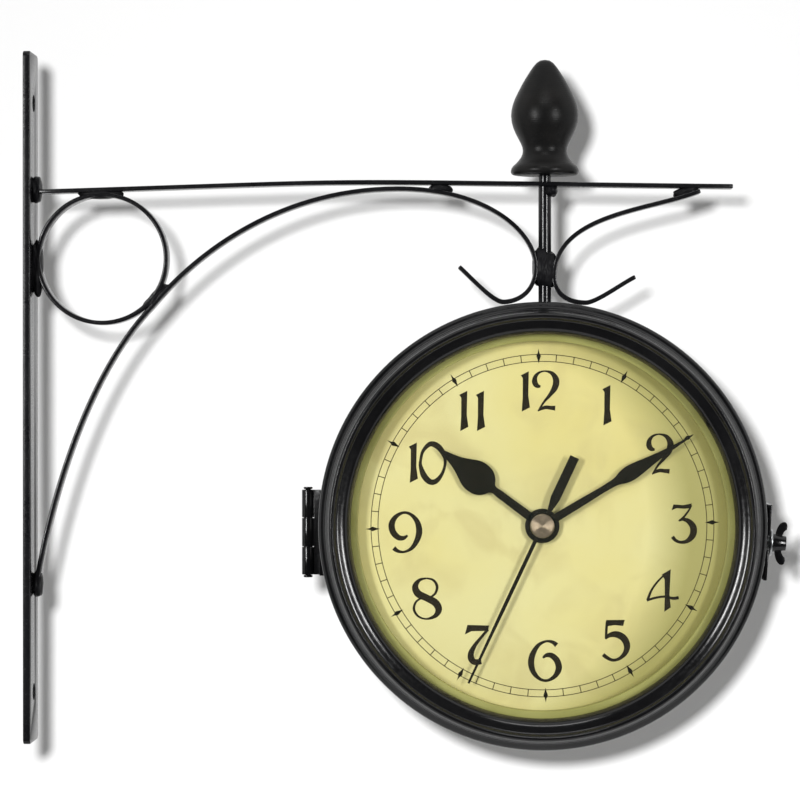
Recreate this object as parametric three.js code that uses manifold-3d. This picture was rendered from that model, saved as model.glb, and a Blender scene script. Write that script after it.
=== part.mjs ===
// Double sided station clock on a scrolled wall bracket.
// Millimetres, +Z up.  The origin is the middle of the wall plate's back face: +X leaves the wall
// along the arm, and the front dial faces -Y.

import * as THREE from "three";
import { mergeVertices } from "three/addons/utils/BufferGeometryUtils.js";
import Module from "manifold-3d";

const wasm = await Module();
wasm.setup();

// ---------------------------------------------------------------- driving dimensions

const gap = 0.3; // clearance between neighbouring pieces that touch or cut each other

// wall plate
const plateHeight = 320;
const plateWidth = 25;
const plateThick = 3.3;
const plateCorner = 2.5;
const screwHoleDia = 7.8;
const screwHoleInset = 23.3;

// bent strips of the bracket
const stripThick = 2;
const stripDepth = 10;
const armOverhang = 86.4; // rod to the free end of the arm
const armRootHeight = 95.4;
const armTipHeight = 97.3;
const armRootSlope = 1.7; // degrees of rise at the wall
const armTipSlope = -0.8; // degrees at the free end
const armRootSweep = 0.56; // how far the arm keeps each slope, as shares of its reach
const armTipSweep = 0.67;
const ringOuterRadius = 30.7;
const ringStandOff = 1.6; // ring to wall plate, filled by the weld

// main brace: wall foot, past the ring, under the arm, round the hook beside the rod
const braceFootHeight = -90;
const braceRingAngle = -44; // where it passes the ring, degrees from +X
const braceTouchSpan = 67.9; // where it lies under the arm, measured back from the rod
const hookDepth = 54.3; // arm to the bottom of the hook
const hookWidth = 35.3;
const hookRise = 16.2; // bottom of the hook to its free end
const hookTurn = 0.42; // share of its width where the hook is lowest

// end brace: free end of the arm to the hook on the other side of the rod
const endBraceSetback = 15; // free end of the arm to the brace's root
const endBraceSlope = 202; // degrees
const endHookWidth = 37.3;
const endHookRise = 11.8;
const endHookTurn = 0.39;

// rod and finial
const rodDia = 6;
const rodThreadDia = 5;
const rodOffset = 1.6; // rod to the case's middle plane, towards the free end
const rodDrop = 56.8; // middle of the arm to the top of the case's band
const finialHeight = 53.2;
const finialRadius = 14.8;
const finialLift = 3.4; // arm to the underside of the finial
const finialThreadLength = 16;

// case
const caseReach = 239; // wall to the case's middle
const bandRadius = 100;
const bandThick = 1.2;
const bandHalfWidth = 10;
const flangeThick = 1;
const flangeWidth = 7; // inward flanges of band and shells
const shellThick = 1;
const lipProud = 1.8; // rolled lip beyond the band
const beadInset = 1.8; // outer bead inside the band's surface
const crestInset = 4.4; // crest of the bezel inside it
const openingInset = 13.2; // edge of the opening inside it
const bezelRise = 9; // glass to the crest of the bezel
const stackPlay = 1.6; // glass, spacer and dial inside the shell wall

// glass, spacer, dial
const glassThick = 2;
const dialThick = 0.8;
const spacerHeight = 5.9;
const spacerShow = 2.8; // width of the spacer seen inside the opening
const spacerWall = 1;
const retainerThick = 1;

// quartz movement
const movementSize = 56;
const movementThick = 16;
const movementRoom = 3.5; // case's middle plane to the back of each movement
const batteryDia = 14.2;
const batteryLength = 49.2;
const batteryDrop = 18.5;
const bushingDia = 7.8;
const fixingNutDia = 13;
const fixingNutThick = 1.4;
const washerThick = 0.6;
const knobDia = 11;
const knobThick = 2.4;
const knobSide = 12;

// hands, lengths from the centre, angles clockwise from twelve
const handThick = 0.5;
const hourLength = 60;
const hourAngle = 306.6;
const hourHubDia = 15.7;
const minuteTipRoom = 4; // minute hand's tip to the spacer
const minuteAngle = 58.9;
const minuteHubDia = 12.8;
const secondTipRoom = 5;
const secondTail = 35;
const secondAngle = 205.1;
const capDia = 11;
const capThick = 1.3;

// hinge on the wall side of the case
const hingeStandOff = 7.4; // band's surface to the pin
const hingeDrop = 3.6;
const hingeHeight = 39;
const knuckleRadius = 2.9;
const pinRadius = 1.2;
const leafThick = 1.2;
const leafWidth = 10;
const middleKnuckle = 13;

// latch on the free side of the case
const latchDrop = 4.3; // degrees below the middle
const strapHeight = 34.5;
const strapThick = 1.6;
const strapOverLip = 0.3; // strap to the shell's lip
const strapBack = 8; // strap behind the case's middle plane
const strapFront = 20; // strap in front of it
const studDepth = 15.2; // case's middle plane to the stud
const studDia = 5;
const latchPlay = 0.4; // washer to strap
const latchWasherDia = 12;
const latchWasherThick = 1;
const wingSpan = 19.7;
const wingThick = 1.8;
const wingNutHeight = 6;

// fineness of the round pieces
const ringSides = 36;
const shaftSides = 14;

// ---------------------------------------------------------------- finishes

const steelBlack = { color: 0x121212, roughness: 0.35, metalness: 0.4 };
const caseBlack = { color: 0x0c0c0c, roughness: 0.18, metalness: 0.3 };
const woodBlack = { color: 0x1a1816, roughness: 0.5, metalness: 0 };
const plasticBlack = { color: 0x1c1c1c, roughness: 0.6, metalness: 0 };
const rubberBlack = { color: 0x151515, roughness: 0.9, metalness: 0 };
const dialCream = { color: 0xd9c98f, roughness: 0.7, metalness: 0 };
const zincBright = { color: 0xb9bbbd, roughness: 0.3, metalness: 1 };
const copper = { color: 0xb87850, roughness: 0.3, metalness: 1 };
const clearGlass = { color: 0xe6efec, roughness: 0.05, metalness: 0 };
const batteryWrap = { color: 0x4a5a46, roughness: 0.4, metalness: 0.2 };

// ---------------------------------------------------------------- building tools

const clock = new THREE.Group();
const degrees = Math.PI / 180;

// Turns a closed geometry into a solid for joining and cutting, its faces pointing out.
function solidOf(geometry) {
  const bare = geometry.clone();
  bare.deleteAttribute("normal");
  bare.deleteAttribute("uv");
  const merged = mergeVertices(bare, 1e-4);
  const points = merged.attributes.position;
  const corners = Uint32Array.from(merged.index.array);
  let volume = 0;
  const a = new THREE.Vector3();
  const b = new THREE.Vector3();
  const c = new THREE.Vector3();
  for (let i = 0; i < corners.length; i += 3) {
    a.fromBufferAttribute(points, corners[i]);
    b.fromBufferAttribute(points, corners[i + 1]);
    c.fromBufferAttribute(points, corners[i + 2]);
    volume += a.dot(b.cross(c));
  }
  if (volume < 0) {
    corners.reverse();
  }
  const mesh = new wasm.Mesh({
    numProp: 3,
    vertProperties: Float32Array.from(points.array),
    triVerts: corners,
  });
  return new wasm.Manifold(mesh);
}

function geometryOf(solid) {
  const mesh = solid.getMesh();
  const geometry = new THREE.BufferGeometry();
  geometry.setAttribute("position", new THREE.BufferAttribute(mesh.vertProperties, 3));
  geometry.setIndex(new THREE.BufferAttribute(mesh.triVerts, 1));
  geometry.computeVertexNormals();
  return geometry;
}

function joined(first, ...others) {
  return others.reduce((whole, part) => whole.add(part), first);
}

function cut(first, ...tools) {
  return tools.reduce((whole, tool) => whole.subtract(tool), first);
}

function addPiece(parent, name, solid, finish) {
  const mesh = new THREE.Mesh(geometryOf(solid), new THREE.MeshStandardMaterial(finish));
  mesh.name = name;
  parent.add(mesh);
}

function block(x0, x1, y0, y1, z0, z1) {
  const geometry = new THREE.BoxGeometry(x1 - x0, y1 - y0, z1 - z0);
  geometry.translate((x0 + x1) / 2, (y0 + y1) / 2, (z0 + z1) / 2);
  return solidOf(geometry);
}

// A turned piece about the Y axis: each profile point is [radius, y].
function turnedAboutY(profile, sides) {
  const points = profile.map(([radius, along]) => new THREE.Vector2(radius, along));
  return solidOf(new THREE.LatheGeometry(points, sides));
}

// A turned piece about a vertical axis at (x, y): each profile point is [radius, z].
function turnedAboutZ(profile, sides, x, y) {
  const points = profile.map(([radius, along]) => new THREE.Vector2(radius, along));
  const geometry = new THREE.LatheGeometry(points, sides);
  geometry.rotateX(Math.PI / 2);
  geometry.translate(x, y, 0);
  return solidOf(geometry);
}

function rodProfile(radius, from, to) {
  return [[0, from], [radius, from], [radius, to], [0, to]];
}

function tubeProfile(inner, outer, from, to) {
  return [[inner, from], [outer, from], [outer, to], [inner, to], [inner, from]];
}

// A flat shape drawn in X and Z, extruded along Y from y0 to y1.
function plateOf(shape, y0, y1, curveSegments = 8) {
  const settings = { depth: y1 - y0, bevelEnabled: false, curveSegments };
  const geometry = new THREE.ExtrudeGeometry(shape, settings);
  geometry.rotateX(Math.PI / 2);
  geometry.translate(0, y1, 0);
  return solidOf(geometry);
}

// One cubic stretch of a strip, given by its ends, its directions there and its handles.
function stretch(start, startAngle, startHandle, end, endAngle, endHandle) {
  const leave = new THREE.Vector2(Math.cos(startAngle * degrees), Math.sin(startAngle * degrees));
  const arrive = new THREE.Vector2(Math.cos(endAngle * degrees), Math.sin(endAngle * degrees));
  const first = start.clone().addScaledVector(leave, startHandle);
  const second = end.clone().addScaledVector(arrive, -endHandle);
  return new THREE.CubicBezierCurve(start, first, second, end);
}

// A flat strip bent along a path in X and Z.  grow thickens it on every side, for cutting.
function bentStrip(path, stepsEach, grow = 0) {
  const half = stripThick / 2 + grow;
  const left = [];
  const right = [];
  path.forEach((curve, number) => {
    for (let step = number === 0 ? 0 : 1; step <= stepsEach; step += 1) {
      const point = curve.getPoint(step / stepsEach);
      const along = curve.getTangent(step / stepsEach);
      if (number === 0 && step === 0) {
        point.addScaledVector(along, -grow);
      }
      if (number === path.length - 1 && step === stepsEach) {
        point.addScaledVector(along, grow);
      }
      left.push(new THREE.Vector2(point.x - along.y * half, point.y + along.x * half));
      right.push(new THREE.Vector2(point.x + along.y * half, point.y - along.x * half));
    }
  });
  const outline = new THREE.Shape([...left, ...right.reverse()]);
  return plateOf(outline, -stripDepth / 2 - grow, stripDepth / 2 + grow);
}

// A weld bead: an oval lump with chamfered ends, wider than the strips that it runs round.
const weldWrap = 1.1; // how far a bead stands proud of the strips' edges

function weldBead(x, z, radiusX, radiusZ, lean) {
  const end = stripDepth / 2 + weldWrap;
  const profile = [[0, -end], [0.75, -end], [1, -end + 1], [1, end - 1], [0.75, end], [0, end]];
  const points = profile.map(([radius, along]) => new THREE.Vector2(radius, along));
  const geometry = new THREE.LatheGeometry(points, 10);
  geometry.scale(radiusX, 1, radiusZ);
  geometry.rotateY(-lean * degrees);
  geometry.translate(x, 0, z);
  return solidOf(geometry);
}

// ---------------------------------------------------------------- bracket

const rodX = caseReach + rodOffset;
const armReach = rodX + armOverhang;
const rodRadius = rodDia / 2;
const stripGap = gap + stripThick / 2; // strip's middle line to the face it lies beside
const wallFace = plateThick;

const armStart = new THREE.Vector2(wallFace + gap, armRootHeight);
const armEnd = new THREE.Vector2(armReach, armTipHeight);
const armPath = [
  stretch(armStart, armRootSlope, armReach * armRootSweep,
    armEnd, armTipSlope, armReach * armTipSweep),
];

// Height of the arm's middle line at a distance from the wall.
function armHeight(x) {
  let low = 0;
  let high = 1;
  for (let i = 0; i < 40; i += 1) {
    const middle = (low + high) / 2;
    if (armPath[0].getPoint(middle).x < x) {
      low = middle;
    } else {
      high = middle;
    }
  }
  return armPath[0].getPoint(low).y;
}

const armUnderside = (x) => armHeight(x) - stripThick / 2;
const armTop = (x) => armHeight(x) + stripThick / 2;

const braceArmTouch = rodX - braceTouchSpan;
const endBraceStart = armReach - endBraceSetback;

const ringX = wallFace + ringStandOff + ringOuterRadius;
const ringZ = armUnderside(ringX) - gap - ringOuterRadius;

function ringBand(outer, inner, halfDepth) {
  const shape = new THREE.Shape();
  shape.absarc(ringX, ringZ, outer, 0, 2 * Math.PI);
  const hole = new THREE.Path();
  hole.absarc(ringX, ringZ, inner, 0, 2 * Math.PI, true);
  shape.holes.push(hole);
  return plateOf(shape, -halfDepth, halfDepth, 20);
}

const ringReach = ringOuterRadius + stripGap; // ring's middle to the brace that lies on it
const braceFoot = new THREE.Vector2(wallFace + stripGap, braceFootHeight);
const braceRing = new THREE.Vector2(
  ringX + ringReach * Math.cos(braceRingAngle * degrees),
  ringZ + ringReach * Math.sin(braceRingAngle * degrees),
);
const braceArm = new THREE.Vector2(braceArmTouch, armUnderside(braceArmTouch) - stripGap);
const braceSideX = rodX - rodRadius - stripGap;
const hookBottomZ = armHeight(rodX) - hookDepth;
const braceSide = new THREE.Vector2(braceSideX, hookBottomZ + hookRise);
const hookBottom = new THREE.Vector2(braceSideX - hookWidth * hookTurn, hookBottomZ);
const hookEnd = new THREE.Vector2(braceSideX - hookWidth, hookBottomZ + hookRise);
const ringPassAngle = braceRingAngle + 90;
const mainPath = [
  stretch(braceFoot, 90, 5, braceRing, ringPassAngle, 58),
  stretch(braceRing, ringPassAngle, 4, braceArm, 0, 72.5),
  stretch(braceArm, 0, 41.5, braceSide, -90, 15.8),
  stretch(braceSide, -90, 14, hookBottom, 180, 4),
  stretch(hookBottom, 180, 5, hookEnd, 138, 8),
];

const endSideX = rodX + rodRadius + stripGap;
const endBraceZ = armUnderside(endBraceStart) - stripGap;
const endBraceRoot = new THREE.Vector2(endBraceStart, endBraceZ);
const endHookBottomZ = hookBottomZ - 0.4;
const endSide = new THREE.Vector2(endSideX, endHookBottomZ + endHookRise);
const endHookBottom = new THREE.Vector2(endSideX + endHookWidth * endHookTurn, endHookBottomZ);
const endHookTip = new THREE.Vector2(endSideX + endHookWidth, endHookBottomZ + endHookRise);
const endPath = [
  stretch(endBraceRoot, endBraceSlope, 23.6, endSide, -90, 29.6),
  stretch(endSide, -90, 6.2, endHookBottom, 0, 10),
  stretch(endHookBottom, 0, 5, endHookTip, 25, 6),
];

const screwHoleZ = plateHeight / 2 - screwHoleInset;
const plateShape = new THREE.Shape();
plateShape.moveTo(-plateWidth / 2 + plateCorner, -plateHeight / 2);
for (const [x, z, from] of [[1, -1, -90], [1, 1, 0], [-1, 1, 90], [-1, -1, 180]]) {
  const cornerX = x * (plateWidth / 2 - plateCorner);
  const cornerZ = z * (plateHeight / 2 - plateCorner);
  plateShape.absarc(cornerX, cornerZ, plateCorner, from * degrees, (from + 90) * degrees);
}
for (const z of [screwHoleZ, -screwHoleZ]) {
  const hole = new THREE.Path();
  hole.absarc(0, z, screwHoleDia / 2, 0, 2 * Math.PI, true);
  plateShape.holes.push(hole);
}
const plateGeometry = new THREE.ExtrudeGeometry(plateShape, {
  depth: plateThick,
  bevelEnabled: false,
  curveSegments: 6,
});
plateGeometry.rotateX(Math.PI / 2);
plateGeometry.rotateZ(Math.PI / 2);
const wallPlate = solidOf(plateGeometry);

const caseCentreHeight = armHeight(rodX) - rodDrop - bandRadius;
const bandTop = caseCentreHeight + Math.sqrt(bandRadius ** 2 - (rodOffset + rodRadius) ** 2);
const finialBase = armTop(rodX) + finialLift;
const rodShoulder = caseCentreHeight + bandRadius + gap;
const rodWasherTop = bandTop - bandThick - 2 * gap - 0.2;
const rodWasherThick = 1.2;
const rodNutThick = 4;
const rodNutTop = rodWasherTop - rodWasherThick - gap;
const rodFoot = rodNutTop - rodNutThick - 2;
const threadRadius = rodThreadDia / 2;

const rodBody = turnedAboutZ([
  [0, rodFoot],
  [threadRadius, rodFoot],
  [threadRadius, rodShoulder],
  [rodRadius, rodShoulder],
  [rodRadius, finialBase - gap],
  [threadRadius, finialBase - gap],
  [threadRadius, finialBase + finialThreadLength],
  [0, finialBase + finialThreadLength],
], shaftSides, rodX, 0);
const rodClearance = turnedAboutZ(
  rodProfile(rodRadius + gap, rodShoulder + 1, finialBase + 10), shaftSides, rodX, 0);
const threadClearance = turnedAboutZ(
  rodProfile(threadRadius + gap, rodFoot - 10, rodShoulder + 1), shaftSides, rodX, 0);

const armBar = cut(bentStrip(armPath, 16), rodClearance);
const ringScroll = ringBand(ringOuterRadius, ringOuterRadius - stripThick, stripDepth / 2);
const mainBrace = bentStrip(mainPath, 10);
const endBrace = bentStrip(endPath, 10);

addPiece(clock, "wall_plate", wallPlate, steelBlack);
addPiece(clock, "arm_bar", armBar, steelBlack);
addPiece(clock, "ring_scroll", ringScroll, steelBlack);
addPiece(clock, "main_brace", mainBrace, steelBlack);
addPiece(clock, "end_brace", endBrace, steelBlack);
addPiece(clock, "hanging_rod", rodBody, steelBlack);

// Turned wooden finial, screwed down over the rod's top thread.
const finialOutline = new THREE.SplineCurve([
  [0.958, 0], [1.02, 0.024], [0.97, 0.066], [0.76, 0.136], [0.655, 0.203], [0.725, 0.273],
  [0.895, 0.376], [1, 0.512], [0.892, 0.648], [0.665, 0.785], [0.41, 0.921], [0.2, 0.985],
].map(([r, z]) => new THREE.Vector2(r * finialRadius, finialBase + z * finialHeight)));
const boreRadius = threadRadius + gap;
const boreTop = finialBase + finialThreadLength + 1;
const finialProfile = [
  [boreRadius, finialBase],
  ...finialOutline.getPoints(15).map((point) => [point.x, point.y]),
  [0, finialBase + finialHeight],
  [0, boreTop],
  [boreRadius, boreTop],
  [boreRadius, finialBase],
];
addPiece(clock, "finial", turnedAboutZ(finialProfile, 20, rodX, 0), woodBlack);

// Weld beads, each cut to lie just clear of the pieces that it runs round.
const weldTools = [
  bentStrip(armPath, 16, gap),
  ringBand(ringOuterRadius + gap, ringOuterRadius - stripThick - gap, stripDepth / 2 + gap),
  bentStrip(mainPath, 10, gap),
  bentStrip(endPath, 10, gap),
  rodClearance,
  block(-10, wallFace + gap, -30, 30, -plateHeight, plateHeight),
];

function addWeld(name, x, z, radiusX, radiusZ, lean) {
  const bead = cut(weldBead(x, z, radiusX, radiusZ, lean), ...weldTools);
  const lumps = bead.decompose();
  lumps.sort((first, second) => second.volume() - first.volume());
  addPiece(clock, name, lumps[0], steelBlack);
}

// Each line below: middle, half width, half height and lean in degrees.
const ringFlank = ringZ - 4.6;
const rodFlank = hookBottomZ + 15.9;
const braceWeldX = braceArmTouch + 19.9;
const nookAngle = (braceRingAngle + 10) * degrees; // the nook above the ring's touch with the brace
const nookReach = ringOuterRadius + 0.6;
const nookX = ringX + nookReach * Math.cos(nookAngle);
const nookZ = ringZ + nookReach * Math.sin(nookAngle);
addWeld("weld_arm_wall", wallFace + 1.4, armRootHeight + 1.2, 4.6, 6.9, 0);
addWeld("weld_ring_wall", wallFace + 1.2, ringFlank, 3.4, 14.7, 0);
addWeld("weld_ring_arm", ringX - 1.2, ringZ + ringOuterRadius - 0.8, 12, 3, 0);
addWeld("weld_ring_brace", nookX, nookZ, 3.8, 8.6, braceRingAngle);
addWeld("weld_brace_wall", wallFace + 1.6, braceFootHeight + 3.6, 3.6, 6.9, 0);
addWeld("weld_brace_arm", braceWeldX, armUnderside(braceWeldX) - 0.6, 6, 3, -6);
addWeld("weld_end_arm", endBraceStart - 6.5, armUnderside(endBraceStart) - 1.6, 6.7, 3, 12);
addWeld("weld_rod_arm", rodX + 3.2, armUnderside(rodX) - 1.6, 3.8, 3.3, 0);
addWeld("weld_rod_main", rodX - rodRadius - 0.8, rodFlank, 2.6, 10.6, 0);
addWeld("weld_rod_end", rodX + rodRadius + 0.8, rodFlank - 2, 2.6, 9, 0);

// Washer and nut that clamp the case's band up to the rod's shoulder.
const rodWasher = turnedAboutZ(
  tubeProfile(threadRadius + gap, 6, rodWasherTop - rodWasherThick, rodWasherTop),
  shaftSides, rodX, 0);
const rodNut = cut(
  turnedAboutZ(rodProfile(4.6, rodNutTop - rodNutThick, rodNutTop), 6, rodX, 0), threadClearance);
addPiece(clock, "rod_washer", rodWasher, zincBright);
addPiece(clock, "rod_nut", rodNut, zincBright);

// ---------------------------------------------------------------- case

const caseFrame = new THREE.Group();
caseFrame.position.set(caseReach, 0, caseCentreHeight);
clock.add(caseFrame);

// Pieces of the case are drawn about its own centre, the front dial facing -Y.
function moved(solid, x, y, z) {
  const shift = new THREE.Matrix4().makeTranslation(x, y, z);
  return transformed(solid, shift);
}

function transformed(solid, matrix) {
  return solidOf(geometryOf(solid).applyMatrix4(matrix));
}

// A straight rod lying radially in the plane of the dial, angle in degrees from +X.
function radialPiece(profile, sides, y, angle) {
  const points = profile.map(([radius, along]) => new THREE.Vector2(radius, along));
  const geometry = new THREE.LatheGeometry(points, sides);
  geometry.rotateZ(-Math.PI / 2);
  geometry.rotateY(-angle * degrees);
  geometry.translate(0, y, 0);
  return solidOf(geometry);
}

const facetSag = bandRadius * (1 - Math.cos(Math.PI / ringSides)); // a facet's middle inside its circle
const lipRadius = bandRadius + lipProud;
const beadRadius = bandRadius - beadInset;
const crestRadius = bandRadius - crestInset;
const openingRadius = bandRadius - openingInset;
const flangeRadius = bandRadius - flangeWidth;
const spacerBore = openingRadius - spacerShow;
const latchAngle = -latchDrop;
const strapInside = lipRadius + strapOverLip;
const strapOutside = strapInside + strapThick;
const rivetY = 3.5;
const rivetInset = 4.8; // end of the strap to the rivet
const rivetSpread = Math.asin((strapHeight / 2 - rivetInset) / strapInside) / degrees;
const rivetRadius = 1.6;
const flangeFace = bandHalfWidth - flangeThick;
const shellRivetRadius = 1.5;
const shellRivetHead = 2.3;
const shellRivetReach = bandRadius - bandThick - facetSag - gap - shellRivetHead;
const shellRivetAngles = [40, 165, 285];

function shellRivet(angle, grow) {
  const heads = [
    [0, flangeFace - gap - 1.2],
    [shellRivetHead, flangeFace - gap - 1.2],
    [shellRivetHead, flangeFace - gap],
    [shellRivetRadius, flangeFace - gap],
    [shellRivetRadius, bandHalfWidth + flangeThick + 2 * gap],
    [2.2, bandHalfWidth + flangeThick + 2 * gap],
    [2.2, bandHalfWidth + flangeThick + 2 * gap + 1.4],
    [0, bandHalfWidth + flangeThick + 2 * gap + 1.4],
  ];
  const shank = rodProfile(shellRivetRadius + grow, 0, bandHalfWidth + 4);
  const piece = turnedAboutY(grow > 0 ? shank : heads, grow > 0 ? 12 : shaftSides);
  const x = shellRivetReach * Math.cos(angle * degrees);
  const z = shellRivetReach * Math.sin(angle * degrees);
  return moved(piece, x, 0, z);
}

const bandSection = [
  [bandRadius, -bandHalfWidth],
  [bandRadius, bandHalfWidth],
  [flangeRadius, bandHalfWidth],
  [flangeRadius, flangeFace],
  [bandRadius - bandThick, flangeFace],
  [bandRadius - bandThick, -flangeFace],
  [flangeRadius, -flangeFace],
  [flangeRadius, -bandHalfWidth],
  [bandRadius, -bandHalfWidth],
];
const rodHole = moved(threadClearance, -caseReach, 0, -caseCentreHeight);
const rivetAngles = [latchAngle - rivetSpread, latchAngle + rivetSpread];
const latchRivetInside = bandRadius - bandThick - facetSag - gap;
const latchRivetHoles = rivetAngles.map((angle) =>
  radialPiece(rodProfile(rivetRadius + gap, bandRadius - 8, strapOutside + 5), 12, rivetY, angle));
const drumBand = cut(
  turnedAboutY(bandSection, ringSides),
  rodHole,
  ...latchRivetHoles,
  ...shellRivetAngles.map((angle) => shellRivet(angle, gap)));
addPiece(caseFrame, "drum_band", drumBand, caseBlack);
shellRivetAngles.forEach((angle, number) => {
  addPiece(caseFrame, `shell_rivet_${number + 1}`, shellRivet(angle, 0), zincBright);
});

// Each half of the case is drawn facing -Y; the rear half is the same half turned about Z.
const frontHalf = new THREE.Group();
const rearHalf = new THREE.Group();
rearHalf.rotation.z = Math.PI;
caseFrame.add(frontHalf);
caseFrame.add(rearHalf);

const shellInner = bandRadius - shellThick;
const shellBack = bandHalfWidth + gap;
const movementBack = movementRoom;
const movementFront = movementBack + movementThick;
const dialBack = movementFront + gap + washerThick + gap;
const dialFace = dialBack + dialThick;
const glassFront = dialFace + gap + spacerHeight + gap + glassThick;
const openingBack = glassFront + gap;
const crestDepth = glassFront + bezelRise; // case's middle plane to the crest of the bezel
const stackRadius = shellInner - stackPlay;
const bezelBase = crestDepth - 13; // where the side wall meets the rolled lip
const shellSection = [
  [bandRadius, shellBack],
  [bandRadius, bezelBase - 2],
  [lipRadius - 0.4, bezelBase - 1],
  [lipRadius, bezelBase + 0.6],
  [lipRadius - 0.5, bezelBase + 2.2],
  [beadRadius + 1.2, bezelBase + 3.4],
  [beadRadius - 0.3, bezelBase + 7.6],
  [crestRadius + 1.4, crestDepth - 2],
  [crestRadius, crestDepth],
  [crestRadius - 2.2, crestDepth - 1.4],
  [openingRadius + 4.4, crestDepth - 3.6],
  [openingRadius, openingBack + 0.8],
  [openingRadius, openingBack],
  [openingRadius + 4, openingBack + 3.2],
  [crestRadius - 1, crestDepth - 3.6],
  [crestRadius + 0.4, bezelBase + 7.4],
  [shellInner - 0.8, openingBack],
  [shellInner, bezelBase + 1],
  [shellInner, shellBack + flangeThick],
  [flangeRadius, shellBack + flangeThick],
  [flangeRadius, shellBack],
  [bandRadius, shellBack],
].map(([radius, depth]) => [radius, -depth]);
const shellBody = turnedAboutY(shellSection, ringSides);

const handAxis = (profile) => turnedAboutY(profile.map(([r, depth]) => [r, -depth]), shaftSides);

const nutBack = dialFace + gap;
const bushingTop = nutBack + fixingNutThick + 0.2;
const hourBack = bushingTop + gap;
const minuteBack = hourBack + handThick + gap;
const secondBack = minuteBack + handThick + gap;
const arborDepth = movementFront - 8; // how far the arbors reach into the movement
const hourTube = [2.2, 2.6];
const minuteTube = [1.1, 1.9];
const secondPin = 0.8;

const glass = turnedAboutY(rodProfile(stackRadius, -glassFront, -glassFront + glassThick), ringSides);
const spacer = turnedAboutY([
  [spacerBore, -dialFace - gap],
  [stackRadius, -dialFace - gap],
  [stackRadius, -dialFace - gap - spacerWall],
  [spacerBore + spacerWall, -dialFace - gap - spacerWall],
  [spacerBore + spacerWall, -dialFace - gap - spacerHeight],
  [spacerBore, -dialFace - gap - spacerHeight],
  [spacerBore, -dialFace - gap],
], ringSides);
const dial = turnedAboutY(
  tubeProfile(bushingDia / 2 + gap, stackRadius, -dialFace, -dialBack), ringSides);
const retainerFront = dialBack - gap;
const retainer = turnedAboutY(
  tubeProfile(stackRadius - 8, shellInner - gap, -retainerFront, -retainerFront + retainerThick),
  ringSides);
const rubberWasher = turnedAboutY(
  tubeProfile(bushingDia / 2 + gap, 9, -dialBack + gap, -dialBack + gap + washerThick), shaftSides);
const fixingNut = turnedAboutY(
  tubeProfile(bushingDia / 2 + gap, fixingNutDia / 2, -nutBack - fixingNutThick, -nutBack), 6 * 3);

// Movement: a square plastic box, its battery trough open at the back, and its threaded bushing.
const halfBox = movementSize / 2;
const troughHalf = batteryLength / 2 + 0.8;
const troughRise = batteryDia / 2 + 0.6;
const troughDepth = batteryDia + 0.8;
const knobArbor = 1.5;
const movementBox = joined(
  block(-halfBox, halfBox, -movementFront, -movementBack, -halfBox, halfBox),
  handAxis(rodProfile(bushingDia / 2, movementFront - 1, bushingTop)));
const movement = cut(
  movementBox,
  block(-troughHalf, troughHalf, -movementBack - troughDepth, -movementBack + 1,
    -batteryDrop - troughRise, -batteryDrop + troughRise),
  handAxis(rodProfile(hourTube[1] + gap, arborDepth - 1, bushingTop + 1)),
  moved(handAxis(rodProfile(knobArbor + gap, movementBack - 1, movementBack + 4)), knobSide, 0, 6));
const knob = moved(handAxis([
  [0, movementBack - gap - knobThick],
  [knobDia / 2, movementBack - gap - knobThick],
  [knobDia / 2, movementBack - gap],
  [knobArbor, movementBack - gap],
  [knobArbor, movementBack + 3],
  [0, movementBack + 3],
]), knobSide, 0, 6);

const batteryAxis = movementBack + troughDepth - batteryDia / 2 - 0.4;
const batteryEnd = batteryLength / 2;
const batteryGeometry = new THREE.LatheGeometry([
  [0, -batteryEnd], [batteryDia / 2, -batteryEnd], [batteryDia / 2, batteryEnd - 1.4],
  [2.7, batteryEnd - 1.4], [2.7, batteryEnd], [0, batteryEnd],
].map(([radius, along]) => new THREE.Vector2(radius, along)), shaftSides);
batteryGeometry.rotateZ(-Math.PI / 2);
batteryGeometry.translate(0, -batteryAxis, -batteryDrop);
const battery = solidOf(batteryGeometry);

// Half the outline of a hand, stretched so that its tip lies at a length.
function toLength(outline, length) {
  const drawn = outline[outline.length - 1][1];
  return outline.map(([x, z]) => [x, (z * length) / drawn]);
}

// Hands are drawn pointing to twelve, then turned to the time shown.
function handShape(halfOutline) {
  const right = halfOutline.map(([x, z]) => new THREE.Vector2(x, z));
  const left = halfOutline.map(([x, z]) => new THREE.Vector2(-x, z)).reverse();
  return new THREE.Shape([...right, ...left.filter((point) => point.x < 0)]);
}

function turnedHand(solid, clockAngle) {
  return transformed(solid, new THREE.Matrix4().makeRotationY(clockAngle * degrees));
}

const minuteLength = spacerBore - minuteTipRoom;
const secondLength = spacerBore - secondTipRoom;
const hourHalf = toLength([
  [2.2, 0], [2, 18], [1.9, 27], [2.4, 29], [5.8, 32], [7.2, 35.5], [7, 39], [5.2, 43],
  [2.9, 48], [1.2, 54.5], [0, 60],
], hourLength);
const minuteHalf = toLength([
  [2.1, 0], [1.8, 28], [1.6, 38], [2.4, 41], [3.5, 45.5], [3.2, 51], [1.9, 60], [0.8, 70],
  [0, 80],
], minuteLength);
const secondHalf = [
  [1.1, -secondTail], [2.2, -secondTail + 1.5], [2.2, -13], [0.9, -7], [0.8, 40], [0.5, secondLength],
];

function handPlate(half, back) {
  return plateOf(handShape(half), -back - handThick, -back);
}

function makeHour() {
  const hub = handAxis(tubeProfile(hourTube[0], hourHubDia / 2, hourBack, hourBack + handThick));
  const tube = handAxis(tubeProfile(hourTube[0], hourTube[1], arborDepth, hourBack + handThick));
  const bore = handAxis(rodProfile(hourTube[0], hourBack - 1, hourBack + 2));
  return joined(cut(handPlate(hourHalf, hourBack), bore), hub, tube);
}

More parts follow.
